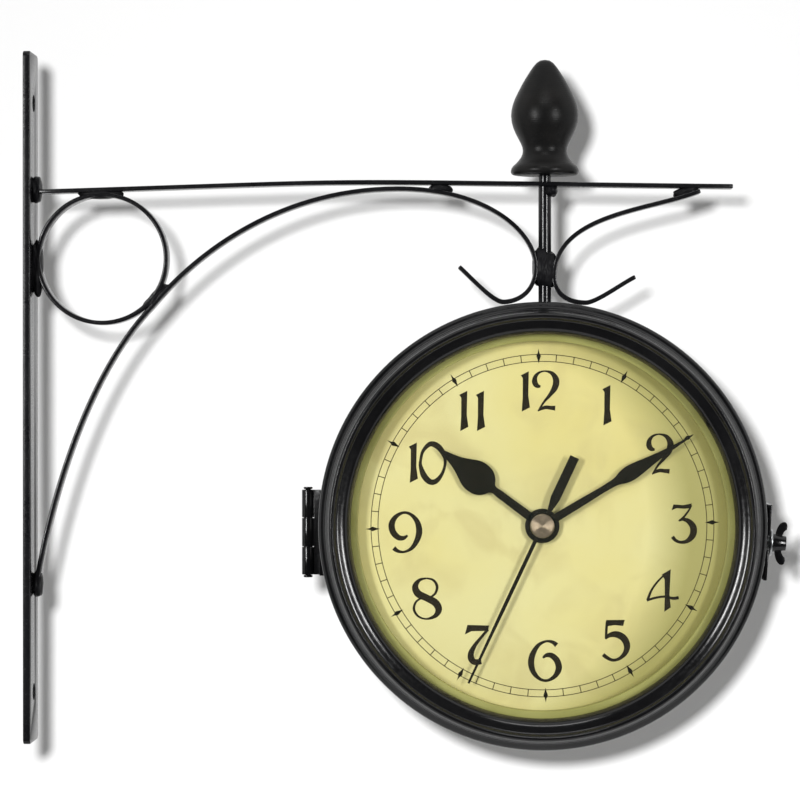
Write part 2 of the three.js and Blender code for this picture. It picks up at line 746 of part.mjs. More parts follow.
function makeMinute() {
  const hub = handAxis(
    tubeProfile(minuteTube[0], minuteHubDia / 2, minuteBack, minuteBack + handThick));
  const tube = handAxis(
    tubeProfile(minuteTube[0], minuteTube[1], arborDepth, minuteBack + handThick));
  const bore = handAxis(rodProfile(minuteTube[0], minuteBack - 1, minuteBack + 2));
  return joined(cut(handPlate(minuteHalf, minuteBack), bore), hub, tube);
}

function makeSecond() {
  const cap = handAxis([
    [0, secondBack],
    [capDia / 2, secondBack],
    [capDia / 2, secondBack + capThick - 0.5],
    [capDia / 2 - 0.8, secondBack + capThick],
    [0, secondBack + capThick],
  ]);
  const pin = handAxis(rodProfile(secondPin, arborDepth, secondBack + handThick));
  return joined(handPlate(secondHalf, secondBack), cap, pin);
}

// Stud hole in the front shell and its matching pieces lie along the latch's radius.
const studY = -studDepth;
const studHead = shellInner - facetSag - gap - 2;
const studRadius = studDia / 2;
const studHole = radialPiece(
  rodProfile(studRadius + gap, shellInner - 4, bandRadius + 4), shaftSides, studY, latchAngle);
const washerInside = strapOutside + latchPlay;
const nutInside = washerInside + latchWasherThick + gap;
const nutOutside = nutInside + wingNutHeight;

function addHalf(parent, side, shell) {
  addPiece(parent, `${side}_shell`, shell, caseBlack);
  addPiece(parent, `${side}_glass`, glass, clearGlass);
  addPiece(parent, `${side}_spacer_ring`, spacer, caseBlack);
  addPiece(parent, `${side}_dial`, dial, dialCream);
  addPiece(parent, `${side}_retaining_ring`, retainer, zincBright);
  addPiece(parent, `${side}_rubber_washer`, rubberWasher, rubberBlack);
  addPiece(parent, `${side}_fixing_nut`, fixingNut, zincBright);
  addPiece(parent, `${side}_movement`, movement, plasticBlack);
  addPiece(parent, `${side}_battery`, battery, batteryWrap);
  addPiece(parent, `${side}_set_knob`, knob, plasticBlack);
  addPiece(parent, `${side}_hour_hand`, turnedHand(makeHour(), hourAngle), plasticBlack);
  addPiece(parent, `${side}_minute_hand`, turnedHand(makeMinute(), minuteAngle), plasticBlack);
  addPiece(parent, `${side}_second_hand`, turnedHand(makeSecond(), secondAngle), copper);
}

const turnOver = new THREE.Matrix4().makeRotationZ(Math.PI);
const rearRivetHoles = shellRivetAngles.map((angle) =>
  transformed(shellRivet(angle, gap), turnOver));
addHalf(frontHalf, "front", cut(shellBody, studHole));
addHalf(rearHalf, "rear", cut(shellBody, ...rearRivetHoles));

// ---------------------------------------------------------------- hinge

// The pin lies in the parting plane; the end knuckles belong to the band, the middle one to the door.
const pinX = -(bandRadius + hingeStandOff);
const pinY = -bandHalfWidth - gap / 2;
const hingeZ = -hingeDrop;
const hingeHalf = hingeHeight / 2;
const middleHalf = middleKnuckle / 2;
const knuckleHole = turnedAboutZ(
  rodProfile(pinRadius + gap, hingeZ - hingeHalf - 5, hingeZ + hingeHalf + 5), shaftSides, pinX, pinY);
const saddleTool = turnedAboutY(rodProfile(bandRadius + gap, -60, 60), ringSides * 2);
const leafOutside = -(bandRadius + gap + leafThick);

function knuckle(from, to) {
  return turnedAboutZ(rodProfile(knuckleRadius, hingeZ + from, hingeZ + to), shaftSides, pinX, pinY);
}

function knuckleRoom(from, to) {
  return turnedAboutZ(
    rodProfile(knuckleRadius + gap, hingeZ + from - gap, hingeZ + to + gap), shaftSides, pinX, pinY);
}

function hingeLeaf(near, far, webFar) {
  const saddle = block(leafOutside, -(bandRadius - 4), Math.min(near, far), Math.max(near, far),
    hingeZ - hingeHalf, hingeZ + hingeHalf);
  const web = block(pinX, leafOutside + 0.5, Math.min(near, webFar), Math.max(near, webFar),
    hingeZ - hingeHalf, hingeZ + hingeHalf);
  return joined(cut(saddle, saddleTool), web);
}

const bandEdge = pinY + gap;
const doorEdge = pinY - gap;
const caseLeafBody = hingeLeaf(bandEdge, bandEdge + leafWidth, bandEdge + leafThick);
const doorLeafBody = hingeLeaf(doorEdge, doorEdge - leafWidth, doorEdge - leafThick);
const caseLeaf = cut(
  joined(caseLeafBody, knuckle(-hingeHalf, -middleHalf - gap), knuckle(middleHalf + gap, hingeHalf)),
  knuckleRoom(-middleHalf, middleHalf), knuckleHole);
const doorLeaf = cut(
  joined(
    cut(doorLeafBody,
      knuckleRoom(-hingeHalf - 1, -middleHalf - gap), knuckleRoom(middleHalf + gap, hingeHalf + 1)),
    knuckle(-middleHalf, middleHalf)),
  knuckleHole);
const hingePin = turnedAboutZ([
  [0, hingeZ - hingeHalf - gap - 1],
  [pinRadius + 0.9, hingeZ - hingeHalf - gap - 1],
  [pinRadius + 0.9, hingeZ - hingeHalf - gap],
  [pinRadius, hingeZ - hingeHalf - gap],
  [pinRadius, hingeZ + hingeHalf + gap],
  [pinRadius + 0.9, hingeZ + hingeHalf + gap],
  [pinRadius + 0.9, hingeZ + hingeHalf + gap + 1],
  [0, hingeZ + hingeHalf + gap + 1],
], shaftSides, pinX, pinY);
addPiece(caseFrame, "hinge_leaf_case", caseLeaf, caseBlack);
addPiece(caseFrame, "hinge_leaf_door", doorLeaf, caseBlack);
addPiece(caseFrame, "hinge_pin", hingePin, zincBright);

// ---------------------------------------------------------------- latch

// The strap stands on the band and reaches forward over the shell's lip; its slot is open in front.
const toLatch = new THREE.Matrix4().makeRotationY(-latchAngle * degrees);
const strapHalf = strapHeight / 2;
const slotHalf = studRadius + gap + 0.4;
const strapBlock = joined(
  block(bandRadius - 4, strapOutside, -flangeFace, strapBack, -strapHalf, strapHalf),
  block(strapInside, strapOutside, -strapFront, strapBack, -strapHalf, strapHalf));
const slot = block(strapInside - 1, strapOutside + 1, -strapFront - 1, studY, -slotHalf, slotHalf);
const slotEnd = radialPiece(
  rodProfile(slotHalf, strapInside - 1, strapOutside + 1), shaftSides, studY, 0);
const strapCut = cut(strapBlock, slot, slotEnd, saddleTool);
const latchStrap = cut(transformed(strapCut, toLatch), ...latchRivetHoles);
addPiece(caseFrame, "latch_strap", latchStrap, caseBlack);

rivetAngles.forEach((angle, number) => {
  const reach = strapInside / Math.cos(rivetSpread * degrees);
  const rivet = radialPiece([
    [0, latchRivetInside - 1.2],
    [2.8, latchRivetInside - 1.2],
    [2.8, latchRivetInside],
    [rivetRadius, latchRivetInside],
    [rivetRadius, reach + 1],
    [0, reach + 1],
  ], 12, rivetY, angle);
  addPiece(caseFrame, `latch_rivet_${number + 1}`, rivet, zincBright);
});

const latchStud = radialPiece([
  [0, studHead],
  [3.6, studHead],
  [3.6, studHead + 2],
  [studRadius, studHead + 2],
  [studRadius, nutOutside - 0.2],
  [0, nutOutside - 0.2],
], shaftSides, studY, latchAngle);
const latchWasher = radialPiece(
  tubeProfile(studRadius + gap, latchWasherDia / 2, washerInside, washerInside + latchWasherThick),
  shaftSides, studY, latchAngle);

const wingShape = new THREE.Shape();
wingShape.moveTo(nutInside + 1, 2);
wingShape.lineTo(nutInside + 1.2, 5);
wingShape.quadraticCurveTo(nutInside + 2.4, wingSpan / 2, nutOutside - 1.2, wingSpan / 2);
wingShape.quadraticCurveTo(nutOutside + 0.6, wingSpan / 2 - 0.4, nutOutside, wingSpan / 2 - 3.4);
wingShape.quadraticCurveTo(nutOutside - 2, 5, nutOutside - 2, 2);
const wing = plateOf(wingShape, -wingThick / 2, wingThick / 2, 5);
const otherWing = transformed(wing, new THREE.Matrix4().makeRotationX(Math.PI));
const wingHub = radialPiece([
  [0, nutInside],
  [4.4, nutInside],
  [3.4, nutOutside],
  [0, nutOutside],
], shaftSides, 0, 0);
const wingBore = radialPiece(
  rodProfile(studRadius + gap, nutInside - 1, nutOutside + 1), shaftSides, 0, 0);
const wingNutBody = cut(joined(wingHub, wing, otherWing), wingBore);
const wingNut = transformed(moved(wingNutBody, 0, studY, 0), toLatch);
addPiece(caseFrame, "latch_stud", latchStud, zincBright);
addPiece(caseFrame, "latch_washer", latchWasher, zincBright);
addPiece(caseFrame, "wing_nut", wingNut, caseBlack);

export default clock;
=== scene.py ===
import math
import bmesh
import bpy
from mathutils import Matrix, Vector, noise
from mathutils.geometry import interpolate_bezier


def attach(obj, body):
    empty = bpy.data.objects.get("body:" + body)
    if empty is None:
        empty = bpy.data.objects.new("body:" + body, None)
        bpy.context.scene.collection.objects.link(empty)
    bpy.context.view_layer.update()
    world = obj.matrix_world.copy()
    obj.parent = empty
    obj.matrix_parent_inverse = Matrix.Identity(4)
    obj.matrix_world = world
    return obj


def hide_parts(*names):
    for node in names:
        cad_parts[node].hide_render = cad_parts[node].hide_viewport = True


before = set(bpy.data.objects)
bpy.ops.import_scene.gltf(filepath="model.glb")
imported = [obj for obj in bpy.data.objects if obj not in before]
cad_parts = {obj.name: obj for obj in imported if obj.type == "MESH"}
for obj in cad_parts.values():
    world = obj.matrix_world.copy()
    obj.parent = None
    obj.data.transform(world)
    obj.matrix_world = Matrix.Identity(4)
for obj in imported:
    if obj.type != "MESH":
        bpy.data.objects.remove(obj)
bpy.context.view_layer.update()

# ---------------------------------------------------------------- camera
# The photograph is taken from straight in front, a little left of the clock's middle, level with
# the top of the lower brace, so the wall plate shows its inner face and its near edge.
eye = Vector((0.2148, -1.350, 0.0040))
aim = Vector((0.1736, 0.0, -0.0011))
view_lens = bpy.data.cameras.new("view_lens")
view_lens.lens = 131.2
view_lens.sensor_width = 36
camera = bpy.data.objects.new("camera", view_lens)
camera.location = eye
camera.rotation_euler = (aim - eye).to_track_quat("-Z", "Y").to_euler()
bpy.context.scene.collection.objects.link(camera)
bpy.context.scene.camera = camera
bpy.context.scene.view_settings.view_transform = "Standard"

# ---------------------------------------------------------------- studio: cove and lights
# A pale cove: a floor that curves up into a wall half a metre behind the clock. The wall shows its
# front only, so the clock can be seen from behind.
cove_profile = [(-0.3, -0.45), (0.2, -0.45), (0.36, -0.41), (0.46, -0.31), (0.5, -0.15), (0.5, 1.5)]
cove_ends = (-1.6, 2.0)
cove_shape = bmesh.new()
cove_left, cove_right = [[cove_shape.verts.new((x, y, z)) for y, z in cove_profile]
                         for x in cove_ends]
for number in range(len(cove_profile) - 1):
    cove_shape.faces.new((cove_left[number], cove_right[number], cove_right[number + 1],
                          cove_left[number + 1]))
cove_mesh = bpy.data.meshes.new("cove")
cove_shape.to_mesh(cove_mesh)
cove_shape.free()
cove_mesh.shade_smooth()
cove = bpy.data.objects.new("cove", cove_mesh)
bpy.context.scene.collection.objects.link(cove)


def studio_paint(name, grey, asked, answer, shown):
    """Matte paint of a studio piece. It is there where the asked node's answer is as shown, 0 or
    1, and clear elsewhere."""
    paint = bpy.data.materials.new(name)
    paint.use_nodes = True
    nodes = paint.node_tree.nodes
    nodes.clear()
    link = paint.node_tree.links.new
    question = nodes.new(asked)
    matte = nodes.new("ShaderNodeBsdfDiffuse")
    matte.inputs["Color"].default_value = (grey, grey, grey, 1)
    clear = nodes.new("ShaderNodeBsdfTransparent")
    pick = nodes.new("ShaderNodeMixShader")
    end = nodes.new("ShaderNodeOutputMaterial")
    link(question.outputs[answer], pick.inputs[0])
    link(matte.outputs[0], pick.inputs[1 + shown])
    link(clear.outputs[0], pick.inputs[2 - shown])
    link(pick.outputs[0], end.inputs["Surface"])
    return paint


cove_mesh.materials.append(studio_paint("cove_paint", 0.60, "ShaderNodeNewGeometry",
                                        "Backfacing", 0))

# A black card hangs behind the camera and the lamps. Only reflections show it, so gloss paint and
# glass stay dark in front, as in a photographer's tent.
card_left, card_right, card_y, card_half_height = -4, 4.4, -1.7, 3
card_corners = [(card_left, -card_half_height), (card_left, card_half_height),
                (card_right, card_half_height), (card_right, -card_half_height)]
card_shape = bmesh.new()
card_shape.faces.new([card_shape.verts.new((x, card_y, z)) for x, z in card_corners])
card_mesh = bpy.data.meshes.new("black_card")
card_shape.to_mesh(card_mesh)
card_shape.free()
card = bpy.data.objects.new("black_card", card_mesh)
bpy.context.scene.collection.objects.link(card)
card_mesh.materials.append(studio_paint("card_paint", 0.02, "ShaderNodeLightPath",
                                        "Is Glossy Ray", 1))

lamps_aim = Vector((0.24, 0, -0.03))


def add_lamp(name, kind, place, power, **settings):
    """A lamp at its place, turned to the clock."""
    lamp = bpy.data.lights.new(name, kind)
    lamp.energy = power
    for key, value in settings.items():
        setattr(lamp, key, value)
    holder = bpy.data.objects.new(name, lamp)
    holder.location = place
    holder.rotation_euler = (lamps_aim - Vector(place)).to_track_quat("-Z", "Y").to_euler()
    bpy.context.scene.collection.objects.link(holder)
    return holder


# Two softboxes, left and right of the camera, and a faint one overhead light the clock. They leave
# the cove alone.
softbox = {"shape": "RECTANGLE", "size": 0.17, "size_y": 0.48}
softbox_y = -1.09
softbox_z = 0.13
left_softbox = add_lamp("left_softbox", "AREA", (-0.55, softbox_y, softbox_z), 10.4, **softbox)
right_softbox = add_lamp("right_softbox", "AREA", (1.03, softbox_y, softbox_z), 8.6, **softbox)
top_softbox = add_lamp("top_softbox", "AREA", (0.24, -0.75, 0.80), 1.8, shape="RECTANGLE",
                       size=0.50, size_y=0.14)
cove_apart = bpy.data.collections.new("cove_apart")
cove_apart.objects.link(cove)
cove_apart.collection_objects[0].light_linking.link_state = "EXCLUDE"
for lamp in (left_softbox, right_softbox, top_softbox):
    lamp.light_linking.receiver_collection = cove_apart

# A lamp beside the camera lights only the cove. It throws the clock's soft shadow a little to the
# right and down, as the photograph has it.
cove_only = bpy.data.collections.new("cove_only")
cove_only.objects.link(cove)
shadow_lamp = add_lamp("shadow_lamp", "POINT", eye + Vector((-0.026, 0, 0.025)), 186,
                       shadow_soft_size=0.011)
shadow_lamp.light_linking.receiver_collection = cove_only

# The room is plain white to the camera, in reflections and through glass, and a low even fill to
# everything else.
room = bpy.data.worlds.new("room")
room.use_nodes = True
bpy.context.scene.world = room
room_nodes = room.node_tree.nodes
room_nodes.clear()
room_link = room.node_tree.links.new
room_ray = room_nodes.new("ShaderNodeLightPath")
room_seen = room_nodes.new("ShaderNodeMath")
room_shown = room_nodes.new("ShaderNodeMath")
room_seen.operation = room_shown.operation = "MAXIMUM"
room_fill = room_nodes.new("ShaderNodeBackground")
room_white = room_nodes.new("ShaderNodeBackground")
for background, strength in ((room_fill, 0.30), (room_white, 1.0)):
    background.inputs["Color"].default_value = (1, 1, 1, 1)
    background.inputs["Strength"].default_value = strength
room_mix = room_nodes.new("ShaderNodeMixShader")
room_end = room_nodes.new("ShaderNodeOutputWorld")
room_link(room_ray.outputs["Is Camera Ray"], room_seen.inputs[0])
room_link(room_ray.outputs["Is Glossy Ray"], room_seen.inputs[1])
room_link(room_seen.outputs[0], room_shown.inputs[0])
room_link(room_ray.outputs["Is Transmission Ray"], room_shown.inputs[1])
room_link(room_shown.outputs[0], room_mix.inputs[0])
room_link(room_fill.outputs[0], room_mix.inputs[1])
room_link(room_white.outputs[0], room_mix.inputs[2])
room_link(room_mix.outputs[0], room_end.inputs["Surface"])

# ---------------------------------------------------------------- wall plate
# A flat steel bar, drilled near each end and screwed to the wall, with its corners and edges
# eased. It is sprayed with gloss black enamel, which shows faint orange peel and a few dull spots.
# Noise keeps close to 0.5, so a part of it is spread over each finish's whole range.
blotch_noise = (0.35, 0.7)
blotch_detail = 4
grain_noise = (0.3, 0.7)
grain_detail = 5


def surface_finish(name, base, shade, blotch, rough, grain, peel, metallic=0.0, specular=0.5):
    """A finish that varies: base and shade mix in blotches (per metre), rough runs between two
    values, and peel is the depth in mm of its fine relief, whose grain is given per metre."""
    material = bpy.data.materials.new(name)
    material.use_nodes = True
    nodes = material.node_tree.nodes
    link = material.node_tree.links.new
    shader = nodes["Principled BSDF"]
    shader.inputs["Metallic"].default_value = metallic
    shader.inputs["Specular IOR Level"].default_value = specular
    where = nodes.new("ShaderNodeTexCoord")
    turn = nodes.new("ShaderNodeMapping")
    turn.name = "turn"
    broad = nodes.new("ShaderNodeTexNoise")
    broad.inputs["Scale"].default_value = blotch
    broad.inputs["Detail"].default_value = blotch_detail
    fine = nodes.new("ShaderNodeTexNoise")
    fine.inputs["Scale"].default_value = grain
    fine.inputs["Detail"].default_value = grain_detail
    tint = nodes.new("ShaderNodeMix")
    tint.name = "tint"
    tint.data_type = "RGBA"
    tint.inputs["A"].default_value = (*base, 1)
    tint.inputs["B"].default_value = (*shade, 1)
    spread = nodes.new("ShaderNodeMapRange")
    spread.inputs["From Min"].default_value = blotch_noise[0]
    spread.inputs["From Max"].default_value = blotch_noise[1]
    gloss = nodes.new("ShaderNodeMapRange")
    gloss.inputs["From Min"].default_value = grain_noise[0]
    gloss.inputs["From Max"].default_value = grain_noise[1]
    gloss.inputs["To Min"].default_value = rough[0]
    gloss.inputs["To Max"].default_value = rough[1]
    relief = nodes.new("ShaderNodeBump")
    relief.name = "relief"
    relief.inputs["Distance"].default_value = peel / 1000
    link(where.outputs["Object"], turn.inputs["Vector"])
    link(turn.outputs[0], broad.inputs["Vector"])
    link(turn.outputs[0], fine.inputs["Vector"])
    link(broad.outputs["Fac"], spread.inputs["Value"])
    link(spread.outputs[0], tint.inputs["Factor"])
    link(tint.outputs["Result"], shader.inputs["Base Color"])
    link(fine.outputs["Fac"], gloss.inputs["Value"])
    link(gloss.outputs[0], shader.inputs["Roughness"])
    link(fine.outputs["Fac"], relief.inputs["Height"])
    link(relief.outputs[0], shader.inputs["Normal"])
    return material


bracket_black = surface_finish("bracket_black", (0.005, 0.005, 0.006), (0.010, 0.010, 0.011),
                               60, (0.14, 0.30), 900, 0.02, specular=0.22)


def finish_piece(name, shape, finish, body, stands_for=(), crease=32,
                 place=Matrix.Identity(4)):
    """Turns a shape in millimetres into a finished piece of the object, at its place. Edges
    sharper than the crease, in degrees, stay sharp."""
    shape.transform(place)
    shape.transform(Matrix.Scale(0.001, 4))
    mesh = bpy.data.meshes.new(name)
    shape.to_mesh(mesh)
    shape.free()
    mesh.materials.append(finish)
    mesh.shade_smooth()
    mesh.set_sharp_from_angle(angle=math.radians(crease))
    piece = bpy.data.objects.new(name, mesh)
    bpy.context.scene.collection.objects.link(piece)
    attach(piece, body)
    if stands_for:
        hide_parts(*stands_for)


def ease_edges(shape, width, steps, least=35):
    """Eases the edges that are sharper than the least angle, in degrees."""
    sharp = [e for e in shape.edges
             if len(e.link_faces) == 2 and e.calc_face_angle() > math.radians(least)]
    bmesh.ops.bevel(shape, geom=sharp, offset=width, segments=steps, profile=0.5,
                    affect="EDGES", material=-1, clamp_overlap=True)


def eased_copy(node, width, steps=2):
    """The CAD node's own shape in millimetres, merged, with its sharp edges eased."""
    shape = bmesh.new()
    shape.from_mesh(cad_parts[node].data)
    shape.transform(Matrix.Scale(1000, 4))
    bmesh.ops.remove_doubles(shape, verts=shape.verts, dist=0.002)
    bmesh.ops.dissolve_limit(shape, angle_limit=math.radians(1), verts=shape.verts,
                             edges=shape.edges)
    ease_edges(shape, width, steps)
    return shape


finish_piece("wall_plate_eased", eased_copy("wall_plate", 0.45, 3), bracket_black,
             "bracket", ["wall_plate"])

# ---------------------------------------------------------------- arm, braces and ring
# Steel strip, 10 by 2 mm, bent cold: the arm, the long brace with its hook beside the rod, and the
# end brace with the opposite hook. The edges keep the small round of rolled strip.
strip_thick = 2.0
strip_depth = 10.0
strip_round = 0.45
bend_steps = 40


def curve_stretch(start, start_angle, start_handle, end, end_angle, end_handle):
    """Points along one cubic bend, given by its ends, its directions there and its handles."""
    leave = Vector((math.cos(math.radians(start_angle)), math.sin(math.radians(start_angle))))
    arrive = Vector((math.cos(math.radians(end_angle)), math.sin(math.radians(end_angle))))
    first = Vector(start) + leave * start_handle
    second = Vector(end) - arrive * end_handle
    return interpolate_bezier(Vector(start), first, second, Vector(end), bend_steps)


def bent_strip(stretches):
    """Strip swept along joined stretches in X and Z, then thickened and eased."""
    path = stretches[0] + [point for bend in stretches[1:] for point in bend[1:]]
    shape = bmesh.new()
    rims = [shape.verts.new((0, side * strip_depth / 2, 0)) for side in (-1, 1)]
    line = shape.edges.new(rims)
    last = Vector((0, 0, 0))
    for number, point in enumerate(path):
        before = path[max(number - 1, 0)]
        after = path[min(number + 1, len(path) - 1)]
        along = (after - before).normalized()
        lifted = Vector((point.x - along.y * strip_thick / 2, 0,
                         point.y + along.x * strip_thick / 2))
        if number > 0:
            grown = bmesh.ops.extrude_edge_only(shape, edges=[line])["geom"]
            rims = [v for v in grown if isinstance(v, bmesh.types.BMVert)]
            line = [e for e in grown if isinstance(e, bmesh.types.BMEdge)][0]
        bmesh.ops.translate(shape, verts=rims, vec=lifted - last)
        last = lifted
    bmesh.ops.recalc_face_normals(shape, faces=shape.faces)
    shape.faces.ensure_lookup_table()
    first = (path[1] - path[0]).normalized()
    if shape.faces[0].normal.dot(Vector((-first.y, 0, first.x))) < 0:
        bmesh.ops.reverse_faces(shape, faces=shape.faces)
    bmesh.ops.solidify(shape, geom=shape.faces[:], thickness=strip_thick)
    bmesh.ops.recalc_face_normals(shape, faces=shape.faces)
    ease_edges(shape, strip_round, 2)
    return shape


arm_line = curve_stretch((3.6, 95.4), 1.7, 183.1, (327, 97.3), -0.8, 219.1)
long_brace_line = [
    curve_stretch((4.6, -90), 90, 5, (58.62, 42.14), 46, 58),
    curve_stretch((58.62, 42.14), 46, 4, (172.7, 96.58), 0, 72.5),
    curve_stretch((172.7, 96.58), 0, 41.5, (236.3, 60.48), -90, 15.8),
    curve_stretch((236.3, 60.48), -90, 14, (221.47, 44.28), 180, 4),
    curve_stretch((221.47, 44.28), 180, 5, (201.0, 60.48), 138, 8),
]
end_brace_line = [
    curve_stretch((312, 95.21), 202, 23.6, (244.9, 55.68), -90, 29.6),
    curve_stretch((244.9, 55.68), -90, 6.2, (259.45, 43.88), 0, 10),
    curve_stretch((259.45, 43.88), 0, 5, (282.2, 55.68), 25, 6),
]
for name, line, node in (("arm_strip", [arm_line], "arm_bar"),
                         ("long_brace_strip", long_brace_line, "main_brace"),
                         ("end_brace_strip", end_brace_line, "end_brace")):
    finish_piece(name, bent_strip(line), bracket_black, "bracket", [node])

# The ring is a closed hoop of the same strip, set between the wall plate, the arm and the brace.
ring_centre = (35.6, 64.37)
ring_radius = 30.7


def turned(profile, steps, axis="Y", centre=(0, 0, 0), closed=True, ease=0.0):
    """A shape turned from a profile of (radius, distance along the axis) points."""
    shape = bmesh.new()
    about = {"Y": Vector((0, 1, 0)), "Z": Vector((0, 0, 1))}[axis]
    points = [shape.verts.new(Vector((r, 0, 0)) + about * along) for r, along in profile]
    pairs = list(zip(points, points[1:]))
    if closed:
        pairs.append((points[-1], points[0]))
    lines = [shape.edges.new(pair) for pair in pairs]
    bmesh.ops.spin(shape, geom=points + lines, cent=(0, 0, 0), axis=about, angle=2 * math.pi,
                   steps=steps, use_merge=True, use_duplicate=False)
    bmesh.ops.remove_doubles(shape, verts=shape.verts, dist=0.0005)
    bmesh.ops.recalc_face_normals(shape, faces=shape.faces)
    if ease:
        ease_edges(shape, ease, 2)
    bmesh.ops.translate(shape, verts=shape.verts, vec=centre)
    return shape


hoop = turned([(ring_radius - strip_thick, -strip_depth / 2), (ring_radius, -strip_depth / 2),
               (ring_radius, strip_depth / 2), (ring_radius - strip_thick, strip_depth / 2)],
              128, "Y", (ring_centre[0], 0, ring_centre[1]), ease=strip_round)
finish_piece("ring_strip", hoop, bracket_black, "bracket", ["ring_scroll"])

# ---------------------------------------------------------------- weld beads
# Every joint of the bracket is held by a short lumpy bead of weld, painted over with the rest. The
# two beside the rod meet over it. Each has its centre and half its size in X and Z, and its lean.
weld_black = surface_finish("weld_black", (0.005, 0.005, 0.006), (0.010, 0.010, 0.011),
                            200, (0.34, 0.52), 1400, 0.02, specular=0.09)
bead_half_depth = 5.9
bead_squareness = 0.4
bead_body = 0.90
bead_lump = 0.11
bead_ripple = 0.03
weld_beads = {
    "weld_arm_wall": (4.6, 96.6, 2.9, 6.8, 0),
    "weld_ring_wall": (5.0, 60.0, 2.9, 14.2, 0),
    "weld_ring_arm": (34.4, 94.6, 11.6, 2.7, 0),
    "weld_ring_brace": (60.3, 46.6, 2.9, 8.8, -44),
    "weld_brace_wall": (5.2, -86.4, 2.6, 6.8, 0),
    "weld_brace_arm": (192.6, 96.6, 6.0, 2.3, -6),
    "weld_end_arm": (305.5, 94.9, 6.6, 2.6, 12),
    "weld_rod_arm": (243.6, 95.6, 3.2, 3.1, 0),
    "weld_rod_main": (238.7, 60.2, 4.2, 10.4, 0),
    "weld_rod_end": (242.6, 59.0, 4.1, 9.6, 0),
}
for number, (name, (x, z, half_x, half_z, lean)) in enumerate(weld_beads.items()):
    bead = bmesh.new()
    bmesh.ops.create_icosphere(bead, subdivisions=5, radius=1)
    for vert in bead.verts:
        direction = vert.co.normalized()
        longest = sum(abs(c) ** 6 for c in direction) ** (1 / 6)
        lumps = noise.noise(direction * 1.7 + Vector((number * 7.3, 0, 0)))
        ripple = noise.noise(direction * 4.5 + Vector((0, number * 3.1, 0)))
        swell = bead_body + bead_lump * lumps + bead_ripple * ripple
        vert.co = direction / longest ** bead_squareness * swell
    bead.transform(Matrix.Diagonal((half_x, bead_half_depth, half_z, 1)))
    turn = Matrix.Rotation(math.radians(-lean), 4, "Y")
    finish_piece(name + "_bead", bead, weld_black, "bracket", [name],
                 crease=180, place=Matrix.Translation((x, 0, z)) @ turn)

# ---------------------------------------------------------------- hanging rod
# A round steel rod, 6 mm thick with M5 threads turned on both ends: the finial screws on above the
# arm, and a washer and nut inside the band carry the clock.
rod_x = 240.6
rod_radius = 3.0
thread_radius = 2.5
thread_turn = 0.8
thread_cut = 0.35


def thread_zigzag(low, high):
    """The outline of a thread between two heights."""
    crests = []
    for number in range(int((high - low) / thread_turn)):
        crests.append((thread_radius, low + number * thread_turn))
        crests.append((thread_radius - thread_cut, low + (number + 0.5) * thread_turn))
    return crests


rod_profile = [(0, 32.18)] + thread_zigzag(32.4, 41.6)
rod_profile += [(thread_radius, 41.9), (rod_radius, 42.2), (rod_radius, 102.4),
                (thread_radius, 102.68)]
rod_profile += thread_zigzag(103.0, 118.5) + [(1.9, 118.98), (0, 118.98)]
rod_black = surface_finish("rod_black", (0.005, 0.005, 0.006), (0.010, 0.010, 0.011), 60,
                           (0.10, 0.20), 900, 0.012, specular=0.35)
finish_piece("hanging_rod_turned", turned(rod_profile, 40, "Z", (rod_x, 0, 0), closed=False),
             rod_black, "bracket", ["hanging_rod"], crease=50)

zinc_plate = surface_finish("zinc_plate", (0.46, 0.47, 0.48), (0.35, 0.36, 0.36), 300,
                            (0.22, 0.45), 2400, 0.02, metallic=1.0)
for name in ("rod_washer", "rod_nut"):
    finish_piece(name + "_eased", eased_copy(name, 0.2), zinc_plate, "bracket",
                 [name])

# ---------------------------------------------------------------- finial
# A turned beech finial with a wide foot, a waist and a bud, sealed and sprayed satin black. The
# lathe leaves faint rings. The outline is in parts of the radius and the height.
finial_foot = 102.985
finial_height = 53.2
finial_radius = 15.55
finial_outline = [
    (0.93, 0.000), (0.985, 0.007), (1.01, 0.020), (1.012, 0.036), (0.995, 0.054), (0.95, 0.074),
    (0.86, 0.098), (0.78, 0.124), (0.71, 0.152), (0.668, 0.180), (0.655, 0.208), (0.668, 0.238),
    (0.71, 0.270), (0.78, 0.310), (0.862, 0.355), (0.935, 0.405), (0.985, 0.455), (1.005, 0.510),
    (0.993, 0.560), (0.955, 0.610), (0.89, 0.662), (0.79, 0.722), (0.68, 0.785), (0.56, 0.845),
    (0.44, 0.900), (0.345, 0.940), (0.25, 0.972), (0.15, 0.992), (0, 1.0),
]
bore_radius = 2.9
bore_top = finial_foot + 17
finial_profile = [(bore_radius, finial_foot)]
finial_profile += [(r * finial_radius, finial_foot + z * finial_height)
                   for r, z in finial_outline]
finial_profile += [(0, bore_top), (bore_radius, bore_top)]
wood_black = surface_finish("wood_black", (0.006, 0.006, 0.006), (0.011, 0.0105, 0.010), 90,
                            (0.30, 0.40), 1500, 0.03, specular=0.13)
wood_nodes = wood_black.node_tree.nodes
wood_rings = wood_nodes.new("ShaderNodeTexWave")
wood_rings.bands_direction = "Z"
wood_rings.inputs["Scale"].default_value = 330
wood_rings.inputs["Distortion"].default_value = 1.5
wood_relief = wood_nodes.new("ShaderNodeBump")
wood_relief.inputs["Distance"].default_value = 0.00003
wood_relief.inputs["Strength"].default_value = 0.5
wood_link = wood_black.node_tree.links.new
wood_link(wood_nodes["turn"].outputs[0], wood_rings.inputs["Vector"])
wood_link(wood_rings.outputs["Fac"], wood_relief.inputs["Height"])
wood_link(wood_nodes["relief"].outputs[0], wood_relief.inputs["Normal"])
wood_link(wood_relief.outputs[0], wood_nodes["Principled BSDF"].inputs["Normal"])
finish_piece("finial_turned", turned(finial_profile, 112, "Z", (rod_x, 0, 0)), wood_black,
             "bracket", ["finial"], crease=50)

